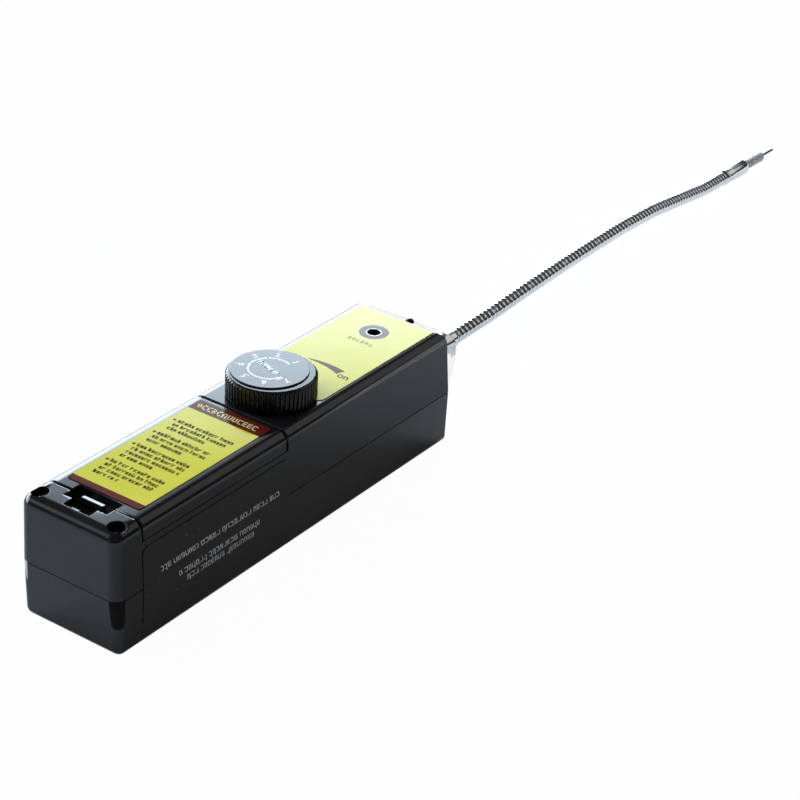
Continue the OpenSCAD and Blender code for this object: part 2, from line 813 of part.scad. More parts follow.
module battery_springs() {
    color("silver") {
        translate([bay_x0 + plate_t, -cell_y, cell_z]) contact_spring();
        translate([bay_x1 - plate_t, cell_y, cell_z]) mirror([1, 0, 0]) contact_spring();
    }
}

module base_ferrule() {
    r = ferrule_d / 2;
    in_x = end_x(probe_z + flange_d / 2) - wall - flange_play;
    color(chrome) translate([0, 0, probe_z]) rotate([0, 90, 0]) rotate_extrude() polygon([
        [0, in_x - flange_t], [flange_d / 2, in_x - flange_t], [flange_d / 2, in_x], [r, in_x],
        [r, far_x + ferrule_l - ferrule_lead], [r - ferrule_nip, far_x + ferrule_l], [0, far_x + ferrule_l]
    ]);
}

module probe_nut() {
    color(chrome) translate([far_x + seat_gap, 0, probe_z]) rotate([0, 90, 0])
        hex_nut(probe_nut_af, ferrule_d + 2 * seat_gap, probe_nut_t);
}

// Moves to the start of a bending length, with +Z along it
module along_probe(i) {
    k = min(i, seg_count - 1);
    translate(seg_start(i)) rotate([0, 90 - seg_elev[k], seg_head[k]]) children();
}

// One bending length of the hose: a tube with rolled ridges, ended in the middle of a groove
module hose_length(i) {
    last = i == seg_count - 1;
    end = seg_ends(i) - (last ? 0 : bend_gap / 2);
    ridges = [
        for (k = [0 : (last ? last_ridges : seg_ridges) - 1])
            let (c = (k + 0.5) * ridge_pitch)
                each [
                    [groove_d / 2, c - ridge_foot / 2], [hose_d / 2, c - ridge_crest / 2],
                    [hose_d / 2, c + ridge_crest / 2], [groove_d / 2, c + ridge_foot / 2]
                ]
    ];
    color(chrome) along_probe(i) rotate_extrude($fn = 32) polygon(concat(
        [[0, bend_gap / 2], [groove_d / 2, bend_gap / 2]], ridges, [[groove_d / 2, end], [0, end]]
    ));
}

module tip_ferrule() {
    r = tip_d / 2;
    color(chrome) along_probe(seg_count) rotate_extrude() polygon([
        [0, 0], [groove_d / 2, 0], [hose_d / 2, tip_lead], [r, tip_taper_l], [r, tip_l - tip_round_l],
        [r - tip_round, tip_l - tip_round], [sleeve_d / 2, tip_l], [0, tip_l]
    ]);
}

module sensor_sleeve() {
    r = sleeve_d / 2;
    color("#8d949c") along_probe(seg_count) translate([0, 0, tip_l]) rotate_extrude() polygon([
        [0, 0], [r, 0], [r, sleeve_l - sleeve_bevel], [r - sleeve_bevel, sleeve_l], [0, sleeve_l]
    ]);
}

module sensor_needle() {
    r = needle_d / 2;
    color("#50555b") along_probe(seg_count) translate([0, 0, tip_l + sleeve_l]) rotate_extrude() polygon([
        [0, 0], [r, 0], [r, needle_l - r], [r / 2, needle_l], [0, needle_l]
    ]);
}

upper_case();
lower_case();
battery_lid();
instruction_label();
front_label();
side_label();
nose_lens();
nose_screw();
case_screws();
knob();
dial_plate();
pot_shaft();
potentiometer();
pot_washer();
pot_nut();
buzzer();
circuit_board();
board_screws();
transformer();
capacitor();
chip();
battery_cells();
bridge_contact();
terminal_contacts();
battery_springs();
base_ferrule();
probe_nut();
hose_length(0);  // hose_1
hose_length(1);  // hose_2
hose_length(2);  // hose_3
hose_length(3);  // hose_4
hose_length(4);  // hose_5
hose_length(5);  // hose_6
hose_length(6);  // hose_7
hose_length(7);  // hose_8
hose_length(8);  // hose_9
tip_ferrule();
sensor_sleeve();
sensor_needle();
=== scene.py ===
"""Looks of a hand-held refrigerant leak detector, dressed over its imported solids.

Lengths in the classes are millimetres in the part's own frame: the origin is in the middle of the underside,
+X runs towards the probe's tip and +Z is up. A mesh is scaled to metres when it becomes an object.
"""

import logging
import math
import random
from dataclasses import dataclass
from enum import Enum
from typing import Callable, Dict, List, Optional, Sequence, Tuple, Union

import bmesh
import bpy
from mathutils import Matrix, Vector


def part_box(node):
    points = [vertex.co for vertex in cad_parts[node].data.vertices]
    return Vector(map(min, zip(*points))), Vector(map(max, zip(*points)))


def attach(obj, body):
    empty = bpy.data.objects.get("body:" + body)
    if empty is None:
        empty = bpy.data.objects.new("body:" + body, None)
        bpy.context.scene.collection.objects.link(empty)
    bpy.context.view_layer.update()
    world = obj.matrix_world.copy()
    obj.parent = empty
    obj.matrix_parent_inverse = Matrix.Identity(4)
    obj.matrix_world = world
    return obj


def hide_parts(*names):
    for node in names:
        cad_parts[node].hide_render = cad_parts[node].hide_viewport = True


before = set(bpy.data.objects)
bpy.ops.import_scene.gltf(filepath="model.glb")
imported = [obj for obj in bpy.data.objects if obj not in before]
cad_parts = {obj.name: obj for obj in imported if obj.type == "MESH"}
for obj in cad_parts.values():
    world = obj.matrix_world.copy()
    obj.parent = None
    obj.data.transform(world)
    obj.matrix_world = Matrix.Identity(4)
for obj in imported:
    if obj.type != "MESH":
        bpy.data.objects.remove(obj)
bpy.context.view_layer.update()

LOG = logging.getLogger("leak_detector")
MM = 0.001
Colour = Tuple[float, float, float]
Pair = Tuple[float, float]
Point = Tuple[float, float, float]
WHITE: Colour = (1.0, 1.0, 1.0)
JOIN_DISTANCE = 0.002
LEVEL_COSINE = 0.99999


def srgb(red: int, green: int, blue: int) -> Colour:
    """Turn a screen colour into the linear one that shaders use.

    Args:
        red, green, blue: the screen colour's channels, 0 to 255.

    Returns:
        The linear colour.
    """
    def linear(channel: int) -> float:
        """Return one channel in linear light."""
        share = channel / 255
        return share / 12.92 if share <= 0.04045 else ((share + 0.055) / 1.055) ** 2.4

    return linear(red), linear(green), linear(blue)


class Slot(Enum):
    """The record's material slots."""

    CASE = "case_black"
    KNOB = "knob_black"
    YELLOW = "yellow_film"
    BLACK_FILM = "black_film"
    DIAL = "dial_grey"
    LENS = "lens_white"
    DARK_METAL = "dark_metal"
    STEEL = "plated_steel"
    BRASS = "pot_brass"
    COMPONENT = "component_black"
    BOARD = "board_green"
    IRON = "core_iron"
    CAN = "sleeve_blue"
    CELL = "cell_wrap"
    CHROME = "hose_chrome"
    SENSOR = "sensor_grey"
    NEEDLE = "needle_steel"


class Value:
    """One number that a shader works out, with arithmetic that adds Math nodes."""

    def __init__(self, graph: "Graph", socket: bpy.types.NodeSocket) -> None:
        """Wrap an output socket of a graph."""
        self.graph = graph
        self.socket = socket

    def _math(self, operation: str, first: "Number", second: "Number") -> "Value":
        """Add one Math node.

        Args:
            operation: the node's operation.
            first, second: its two inputs.

        Returns:
            The node's result.
        """
        return self.graph.value("ShaderNodeMath", {"operation": operation}, {0: first, 1: second})

    def __add__(self, other: "Number") -> "Value":
        """Return self + other."""
        return self._math("ADD", self, other)

    __radd__ = __add__

    def __sub__(self, other: "Number") -> "Value":
        """Return self - other."""
        return self._math("SUBTRACT", self, other)

    def __rsub__(self, other: "Number") -> "Value":
        """Return other - self."""
        return self._math("SUBTRACT", other, self)

    def __mul__(self, other: "Number") -> "Value":
        """Return self * other."""
        return self._math("MULTIPLY", self, other)

    __rmul__ = __mul__

    def above(self, edge: float) -> "Value":
        """Return 1 where the number is over an edge, and 0 elsewhere."""
        return self._math("GREATER_THAN", self, edge)

    def below(self, edge: float) -> "Value":
        """Return 1 where the number is under an edge, and 0 elsewhere."""
        return self._math("LESS_THAN", self, edge)

    def between(self, low: float, high: float) -> "Value":
        """Return 1 where the number is between two edges, and 0 elsewhere."""
        return self.above(low) * self.below(high)

    def repeat(self, period: float) -> "Value":
        """Return the number's place in a repeating period, from 0 to the period."""
        return self._math("FLOORED_MODULO", self, period)

    def larger(self, other: "Number") -> "Value":
        """Return the larger of two numbers."""
        return self._math("MAXIMUM", self, other)

    def ramp(self, low: float, high: float) -> "Value":
        """Rise smoothly from 0 to 1 between two numbers.

        Args:
            low: where the rise starts.
            high: where it ends.

        Returns:
            The risen number.
        """
        return self.graph.value("ShaderNodeMapRange", {"interpolation_type": "SMOOTHSTEP"},
                                {"Value": self, "From Min": low, "From Max": high})


Number = Union[int, float, Value]
Feed = Union[Number, bpy.types.NodeSocket, Sequence[float]]


class Graph:
    """The node tree of one material, or of the world."""

    def __init__(self, tree: bpy.types.NodeTree) -> None:
        """Take over a node tree and empty it."""
        self.tree = tree
        tree.nodes.clear()

    def node(self, kind: str, settings: Optional[Dict[str, object]] = None,
             sockets: Optional[Dict[Union[int, str], Feed]] = None) -> bpy.types.Node:
        """Add one node.

        Args:
            kind: the node's type.
            settings: the node's own settings, set first.
            sockets: values or links of its sockets, by index, name or identifier.

        Returns:
            The node.
        """
        made = self.tree.nodes.new(kind)
        for key, setting in (settings or {}).items():
            setattr(made, key, setting)
        for key, feed in (sockets or {}).items():
            self._feed(self._socket(made.inputs, key), feed)
        return made

    @staticmethod
    def _socket(sockets: bpy.types.bpy_prop_collection, key: Union[int, str]) -> bpy.types.NodeSocket:
        """Find a socket by index, by identifier, or else by name."""
        if isinstance(key, int):
            return sockets[key]
        return next((s for s in sockets if s.identifier == key), None) or sockets[key]

    def _feed(self, socket: bpy.types.NodeSocket, feed: Feed) -> None:
        """Link a socket to what feeds it, or set its own number."""
        if isinstance(feed, Value):
            self.tree.links.new(feed.socket, socket)
        elif isinstance(feed, bpy.types.NodeSocket):
            self.tree.links.new(feed, socket)
        elif socket.type == "RGBA" and len(feed) == 3:
            socket.default_value = (*feed, 1.0)
        else:
            socket.default_value = feed

    def value(self, kind: str, settings: Optional[Dict[str, object]] = None,
              sockets: Optional[Dict[Union[int, str], Feed]] = None, output: Union[int, str] = 0) -> Value:
        """Add a node and wrap one of its outputs as a number."""
        return Value(self, self._socket(self.node(kind, settings, sockets).outputs, output))

    def place(self) -> bpy.types.NodeSocket:
        """Return the point's place on the piece, in metres."""
        return self.node("ShaderNodeTexCoord").outputs["Object"]

    def axis(self, name: str) -> Value:
        """Return one coordinate of the point's place, in millimetres."""
        return self.value("ShaderNodeSeparateXYZ", None, {0: self.place()}, name) * (1 / MM)

    def noise(self, size: float, detail: float = 2.0, stretch: Point = (1.0, 1.0, 1.0)) -> Value:
        """Add soft noise.

        Args:
            size: size of its patches.
            detail: how many finer layers it has.
            stretch: factors on the three coordinates, under 1 to lengthen the patches.

        Returns:
            The noise, about 0.5.
        """
        spot = self.node("ShaderNodeMapping", {"vector_type": "POINT"},
                         {"Vector": self.place(), "Scale": stretch}).outputs[0]
        return self.value("ShaderNodeTexNoise", {"noise_dimensions": "3D"},
                          {"Vector": spot, "Scale": 1 / (size * MM), "Detail": detail}, "Fac")

    def specks(self, size: float, share: float) -> Value:
        """Add round specks.

        Args:
            size: distance between them.
            share: how much of that a speck fills.

        Returns:
            1 on the specks, and 0 elsewhere.
        """
        distance = self.value("ShaderNodeTexVoronoi", {"feature": "F1"},
                              {"Vector": self.place(), "Scale": 1 / (size * MM)}, "Distance")
        return 1 - distance.ramp(share * 0.5, share)

    def mix(self, share: Number, first: Feed, second: Feed) -> bpy.types.NodeSocket:
        """Mix two colours.

        Args:
            share: how much of the second one shows.
            first: the colour at a share of 0.
            second: the colour at a share of 1.

        Returns:
            The mixed colour.
        """
        made = self.node("ShaderNodeMix", {"data_type": "RGBA", "clamp_factor": True},
                         {"Factor_Float": share, "A_Color": first, "B_Color": second})
        return self._socket(made.outputs, "Result_Color")

    def bump(self, height: Value, depth: float) -> bpy.types.NodeSocket:
        """Tilt the normal by a height.

        Args:
            height: the height, 0 to 1.
            depth: how many millimetres a height of 1 stands.

        Returns:
            The tilted normal.
        """
        sockets = {"Height": height, "Distance": depth * MM, "Strength": 1.0}
        return self.node("ShaderNodeBump", None, sockets).outputs["Normal"]

    def ray(self, kind: str) -> Value:
        """Return 1 for light rays of one kind, and 0 for the others."""
        return Value(self, self.node("ShaderNodeLightPath").outputs[f"Is {kind} Ray"])

    def seen(self) -> Value:
        """Return 1 where the eye looks, straight or through something clear, and 0 elsewhere."""
        return self.ray("Camera").larger(self.ray("Transmission"))

    def end_white(self, share: Number, shader: bpy.types.Node, white: str, output: str) -> None:
        """End the tree in a shader that is partly replaced by plain white.

        Args:
            share: how much of the white shows.
            shader: the shader's node.
            white: the type of the node that gives the white.
            output: the type of the output node.
        """
        plain = self.node(white, None, {"Color": WHITE, "Strength": 1.0})
        both = self.node("ShaderNodeMixShader", None, {0: share, 1: shader.outputs[0], 2: plain.outputs[0]})
        self.node(output, None, {"Surface": both.outputs[0]})

    def surface(self, sockets: Dict[Union[int, str], Feed]) -> None:
        """End the tree in one principled shader with these sockets."""
        shader = self.node("ShaderNodeBsdfPrincipled", None, sockets)
        self.node("ShaderNodeOutputMaterial", None, {"Surface": shader.outputs[0]})


@dataclass(frozen=True)
class Finish:
    """What every finish shares: the material's name, colour, gloss and slot in the record."""

    name: str
    slot: Slot
    colour: Colour
    roughness: float

    def material(self) -> bpy.types.Material:
        """Return the material, made on first use."""
        made = bpy.data.materials.get(self.name)
        if made is None:
            made = bpy.data.materials.new(self.name)
            made.use_nodes = True
            made.diffuse_color = (*self.colour, 1.0)
            self.shade(Graph(made.node_tree))
        return made

    def shade(self, graph: Graph) -> None:
        """Build the material's nodes; each kind of finish has its own."""
        raise NotImplementedError

    def lighter(self, factor: float) -> Colour:
        """Return the colour times a factor."""
        return tuple(min(1.0, channel * factor) for channel in self.colour)


@dataclass(frozen=True)
class MouldedPlastic(Finish):
    """Hard moulded plastic with a fine grain, handling marks and a little dust."""

    grain: float = 0.35
    depth: float = 0.006
    specular: float = 0.5
    cloud_size: float = 22.0
    rub_size: float = 9.0
    rub_stretch: Point = (0.35, 1.0, 1.0)
    dust: Pair = (2.3, 0.09)
    dust_patch: float = 14.0
    dust_colour: Colour = (0.3, 0.3, 0.3)

    def shade(self, graph: Graph) -> None:
        """Build the material's nodes."""
        cloud = graph.noise(self.cloud_size, 3.0)
        rubbed = graph.noise(self.rub_size, 4.0, self.rub_stretch).ramp(0.5, 0.75)
        dust = graph.specks(*self.dust) * graph.noise(self.dust_patch).ramp(0.45, 0.7)
        tone = graph.mix(cloud.ramp(0.3, 0.7), self.lighter(0.85), self.lighter(1.2))
        tone = graph.mix(dust * 0.35, tone, self.dust_colour)
        graph.surface({
            "Base Color": tone,
            "Roughness": rubbed * 0.05 + cloud * 0.05 + (self.roughness - 0.03),
            "Specular IOR Level": self.specular,
            "Normal": graph.bump(graph.noise(self.grain, 3.0), self.depth),
        })


SMEAR_SIZE = 7.0
RIPPLE_SIZE = 12.0


@dataclass(frozen=True)
class GlossFilm(Finish):
    """Printed adhesive film: an even colour under a clear glossy face that lies almost flat."""

    ripple: float = 0.01
    specular: float = 0.5
    density_size: float = 30.0
    screen_size: float = 0.25
    smear_stretch: Point = (1.0, 0.5, 1.0)
    lint: Pair = (3.1, 0.06)
    lint_colour: Colour = (0.75, 0.75, 0.7)

    def shade(self, graph: Graph) -> None:
        """Build the material's nodes."""
        density = graph.noise(self.density_size, 2.0)
        screen = graph.noise(self.screen_size, 1.0)
        smear = graph.noise(SMEAR_SIZE, 4.0, self.smear_stretch).ramp(0.55, 0.8)
        tone = graph.mix(density * 0.6 + screen * 0.25, self.lighter(0.94), self.lighter(1.06))
        tone = graph.mix(graph.specks(*self.lint) * 0.5, tone, self.lint_colour)
        graph.surface({
            "Base Color": tone,
            "Roughness": smear * 0.06 + self.roughness,
            "Specular IOR Level": self.specular,
            "Normal": graph.bump(graph.noise(RIPPLE_SIZE, 1.0), self.ripple),
        })


@dataclass(frozen=True)
class PrintInk(Finish):
    """Ink under the film's clear face, with a slightly uneven density."""

    paper: Colour = (0.6, 0.6, 0.05)
    thinness: float = 0.12
    specular: float = 0.5
    pinhole_size: float = 0.4
    fade_size: float = 16.0
    ripple: float = 0.01

    def shade(self, graph: Graph) -> None:
        """Build the material's nodes."""
        thin = graph.noise(self.pinhole_size, 2.0).ramp(0.4, 0.75)
        fade = graph.noise(self.fade_size, 2.0).ramp(0.35, 0.7)
        worn = thin * self.thinness + fade * self.thinness * 0.5
        graph.surface({
            "Base Color": graph.mix(worn, self.colour, self.paper),
            "Roughness": graph.noise(SMEAR_SIZE, 4.0).ramp(0.55, 0.8) * 0.06 + self.roughness,
            "Specular IOR Level": self.specular,
            "Normal": graph.bump(graph.noise(RIPPLE_SIZE, 1.0), self.ripple),
        })


@dataclass(frozen=True)
class Plating(Finish):
    """Plated or bare metal with wiped smudges and fine scratches."""

    smudge: float = 0.12
    tarnish: float = 0.25
    brushed: Point = (1.0, 1.0, 1.0)
    wipe_size: float = 6.0
    scratch_size: float = 0.5
    scratch_depth: float = 0.002
    tarnish_size: float = 2.2

    def shade(self, graph: Graph) -> None:
        """Build the material's nodes."""
        wipe = graph.noise(self.wipe_size, 4.0).ramp(0.42, 0.72)
        scratch = graph.noise(self.scratch_size, 3.0, self.brushed)
        dull = graph.noise(self.tarnish_size, 3.0).ramp(0.55, 0.8)
        graph.surface({
            "Base Color": graph.mix(dull * self.tarnish, self.colour, self.lighter(0.55)),
            "Metallic": 1.0,
            "Roughness": wipe * self.smudge + scratch * 0.05 + self.roughness,
            "Normal": graph.bump(scratch, self.scratch_depth),
        })


@dataclass(frozen=True)
class ClearPlastic(Finish):
    """Clear moulded plastic with faint flow lines, which shows what stands behind it."""

    clear: float = 0.95
    ior: float = 1.03
    flow_size: float = 11.0
    flow_stretch: Point = (1.0, 0.4, 1.0)
    sink_size: float = 5.0
    sink_depth: float = 0.004

    def shade(self, graph: Graph) -> None:
        """Build the material's nodes."""
        flow = graph.noise(self.flow_size, 3.0, self.flow_stretch)
        graph.surface({
            "Base Color": graph.mix(flow.ramp(0.3, 0.7), self.lighter(0.93), self.lighter(1.04)),
            "Roughness": flow * 0.04 + self.roughness,
            "Transmission Weight": self.clear,
            "IOR": self.ior,
            "Normal": graph.bump(graph.noise(self.sink_size, 2.0), self.sink_depth),
        })


@dataclass(frozen=True)
class SpeckledMetal(Finish):
    """Sintered or blasted metal: matt, with dark pores."""

    pore: float = 0.5
    metallic: float = 0.2
    pore_share: float = 0.5
    patch_size: float = 1.1
    grit_size: float = 0.3
    grit_depth: float = 0.05

    def shade(self, graph: Graph) -> None:
        """Build the material's nodes."""
        pores = graph.specks(self.pore, self.pore_share)
        patches = graph.noise(self.patch_size, 3.0).ramp(0.35, 0.7)
        tone = graph.mix(patches, self.lighter(0.8), self.lighter(1.1))
        graph.surface({
            "Base Color": graph.mix(pores * 0.4, tone, self.lighter(0.3)),
            "Metallic": self.metallic,
            "Roughness": patches * 0.15 + self.roughness,
            "Normal": graph.bump(graph.noise(self.grit_size, 3.0) - pores * 0.6, self.grit_depth),
        })


@dataclass(frozen=True)
class PrintedDisc(Finish):
    """Dark printed disc with a glossy face, turned so that fine rings run round its middle."""

    middle: Pair = (12.0, 0.9)
    ring_scale: float = 5.0
    ring_depth: float = 0.001
    cloud_size: float = 6.0

    def shade(self, graph: Graph) -> None:
        """Build the material's nodes."""
        across = graph.axis("X") - self.middle[0]
        along = graph.axis("Y") - self.middle[1]
        radius = graph.value("ShaderNodeMath", {"operation": "SQRT"}, {0: across * across + along * along})
        rings = graph.value("ShaderNodeTexNoise", {"noise_dimensions": "1D"},
                            {"W": radius, "Scale": self.ring_scale}, "Fac")
        cloud = graph.noise(self.cloud_size, 3.0)
        graph.surface({
            "Base Color": graph.mix(rings * 0.5 + cloud * 0.5, self.lighter(0.88), self.lighter(1.08)),
            "Roughness": rings * 0.05 + cloud * 0.05 + self.roughness,
            "Normal": graph.bump(rings, self.ring_depth),
        })


@dataclass(frozen=True)
class BoardLaminate(Finish):
    """Circuit board: green lacquer over copper tracks, with bare pads."""

    pitch: float = 2.54
    track: Pair = (0.8, 1.7)
    track_size: float = 9.0
    track_stretch: Point = (0.4, 1.5, 1.0)
    pad: Pair = (0.6, 1.9)
    pad_size: float = 7.0
    pad_colour: Colour = srgb(196, 190, 170)
    copper_depth: float = 0.03

    def shade(self, graph: Graph) -> None:
        """Build the material's nodes."""
        across = graph.axis("Y").repeat(self.pitch)
        along = graph.axis("X").repeat(self.pitch * 2)
        lane = across.between(*self.track) * graph.noise(self.track_size, 0.0, self.track_stretch).above(0.48)
        pad = across.between(*self.pad) * along.between(*self.pad)
        pad = pad * graph.noise(self.pad_size, 0.0).above(0.56)
        tone = graph.mix(lane, self.colour, self.lighter(1.9))
        graph.surface({
            "Base Color": graph.mix(pad, tone, self.pad_colour),
            "Metallic": pad,
            "Roughness": graph.noise(3.0) * 0.1 + self.roughness,
            "Normal": graph.bump(lane.larger(pad), self.copper_depth),
        })


@dataclass(frozen=True)
class Laminations(Finish):
    """Stack of iron sheets, seen edge on."""

    sheet: float = 0.5
    seam_share: float = 0.25
    seam_depth: float = 0.05
    rust_size: float = 2.0
    rust_colour: Colour = srgb(104, 72, 50)

    def shade(self, graph: Graph) -> None:
        """Build the material's nodes."""
        step = graph.axis("Y").repeat(self.sheet)
        seam = step.below(self.sheet * self.seam_share)
        rust = graph.noise(self.rust_size, 4.0).ramp(0.5, 0.8)
        tone = graph.mix(seam * 0.7, self.colour, self.lighter(0.35))
        graph.surface({
            "Base Color": graph.mix(rust * 0.35, tone, self.rust_colour),
            "Metallic": 0.7,
            "Roughness": rust * 0.2 + self.roughness,
            "Normal": graph.bump(1 - seam, self.seam_depth),
        })


@dataclass(frozen=True)
class CellWrap(Finish):
    """Shrink wrap of a dry cell: dark, with a copper-coloured band, and bare steel at the ends."""

    wrapped: Pair = (-65.5, -17.6)
    band: Pair = (-33.0, -18.6)
    band_colour: Colour = srgb(176, 104, 54)
    steel_colour: Colour = srgb(186, 188, 190)
    wrinkle_size: float = 1.4
    wrinkle_stretch: Point = (4.0, 1.0, 1.0)
    wrinkle_depth: float = 0.02

    def shade(self, graph: Graph) -> None:
        """Build the material's nodes."""
        along = graph.axis("X")
        band = along.between(*self.band)
        bare = along.below(self.wrapped[0]).larger(along.above(self.wrapped[1]))
        tone = graph.mix(band, self.colour, self.band_colour)
        wrinkle = graph.noise(self.wrinkle_size, 2.0, self.wrinkle_stretch)
        graph.surface({
            "Base Color": graph.mix(bare, tone, self.steel_colour),
            "Metallic": bare.larger(band * 0.6),
            "Roughness": wrinkle * 0.1 + self.roughness,
            "Normal": graph.bump(wrinkle, self.wrinkle_depth),
        })


CASE_PLASTIC = MouldedPlastic("case_moulding", Slot.CASE, srgb(27, 27, 29), 0.12, depth=0.0004)
KNOB_PLASTIC = MouldedPlastic("knob_moulding", Slot.KNOB, srgb(27, 25, 26), 0.18, depth=0.0015, specular=0.42)
YELLOW_FILM = GlossFilm("yellow_film_face", Slot.YELLOW, srgb(222, 213, 60), 0.03, specular=0.17)
BLACK_FILM = GlossFilm("black_film_face", Slot.BLACK_FILM, srgb(27, 27, 29), 0.13, ripple=0.004)
MAROON_INK = PrintInk("maroon_ink", Slot.YELLOW, srgb(96, 22, 24), 0.04, thinness=0.03, specular=0.1)
TEXT_INK = PrintInk("text_ink", Slot.YELLOW, srgb(34, 32, 10), 0.05, thinness=0.08, specular=0.06)
HEADING_INK = PrintInk("heading_ink", Slot.YELLOW, srgb(236, 226, 160), 0.05, thinness=0.05, specular=0.2)
GREY_INK = PrintInk("side_text_ink", Slot.BLACK_FILM, srgb(226, 228, 229), 0.3, paper=srgb(90, 90, 92))
WHITE_INK = PrintInk("white_ink", Slot.DIAL, srgb(240, 243, 246), 0.2, paper=srgb(190, 200, 206))
RED_INK = PrintInk("red_ink", Slot.DIAL, srgb(190, 30, 44), 0.2, paper=srgb(200, 120, 120))
# Sound-hole ring: real maroon print, greyed and lightened by painted glare in its colour and in its paper
# tone
RING_INK_WITH_GLARE = PrintInk("ring_ink_with_painted_glare", Slot.YELLOW, srgb(92, 66, 66), 0.06, paper=srgb(140, 124, 126),
                    thinness=0.2, specular=0.12)
DIAL_FACE = PrintedDisc("dial_face", Slot.DIAL, srgb(34, 37, 42), 0.16)
LENS_PLASTIC = ClearPlastic("lens_moulding", Slot.LENS, srgb(251, 252, 253), 0.08)
HOSE_CHROME = Plating("hose_plating", Slot.CHROME, srgb(234, 237, 240), 0.07)
TIP_CHROME = Plating("tip_plating", Slot.CHROME, srgb(238, 240, 242), 0.04, smudge=0.05, tarnish=0.1)
SENSOR_METAL = SpeckledMetal("sensor_guard_metal", Slot.SENSOR, srgb(212, 215, 220), 0.55)
NEEDLE_STEEL = Plating("needle_metal", Slot.NEEDLE, srgb(50, 53, 58), 0.45)
SCREW_STEEL = Plating("screw_metal", Slot.STEEL, srgb(176, 178, 182), 0.22, brushed=(1.0, 1.0, 0.2))
DARK_STEEL = Plating("dark_metal_face", Slot.DARK_METAL, srgb(44, 45, 48), 0.25)
POT_BRASS = Plating("pot_brass_face", Slot.BRASS, srgb(196, 168, 98), 0.24)
COMPONENT = MouldedPlastic("component_moulding", Slot.COMPONENT, srgb(30, 30, 33), 0.45)
CAN_SLEEVE = MouldedPlastic("can_sleeve", Slot.CAN, srgb(34, 58, 112), 0.3)
BOARD = BoardLaminate("board_laminate", Slot.BOARD, srgb(22, 84, 44), 0.3)
CORE_IRON = Laminations("core_sheets", Slot.IRON, srgb(96, 92, 88), 0.45)
CELL_WRAP = CellWrap("cell_wrap_face", Slot.CELL, srgb(26, 27, 30), 0.22)

SLOT_FINISH: Dict[str, Finish] = {
    finish.slot.value: finish for finish in (
        CASE_PLASTIC, KNOB_PLASTIC, YELLOW_FILM, BLACK_FILM, DIAL_FACE, LENS_PLASTIC, DARK_STEEL, SCREW_STEEL,
        POT_BRASS, COMPONENT, BOARD, CORE_IRON, CAN_SLEEVE, CELL_WRAP, HOSE_CHROME, SENSOR_METAL,
        NEEDLE_STEEL)
}


def link(name: str, data: bpy.types.ID) -> bpy.types.Object:
    """Put data in the scene as a new object."""
    made = bpy.data.objects.new(name, data)
    bpy.context.scene.collection.objects.link(made)
    return made


def only_verts(geom: Sequence[object]) -> List[bmesh.types.BMVert]:
    """Return the vertices in what a mesh operator gives back."""
    return [part for part in geom if isinstance(part, bmesh.types.BMVert)]


def copy_node(bm: bmesh.types.BMesh, node: str) -> None:
    """Fill a mesh with a CAD node's shape in millimetres, its split corners joined."""
    bm.from_mesh(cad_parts[node].data)
    bmesh.ops.scale(bm, vec=(1 / MM, 1 / MM, 1 / MM), verts=bm.verts)
    bmesh.ops.remove_doubles(bm, verts=bm.verts, dist=JOIN_DISTANCE)


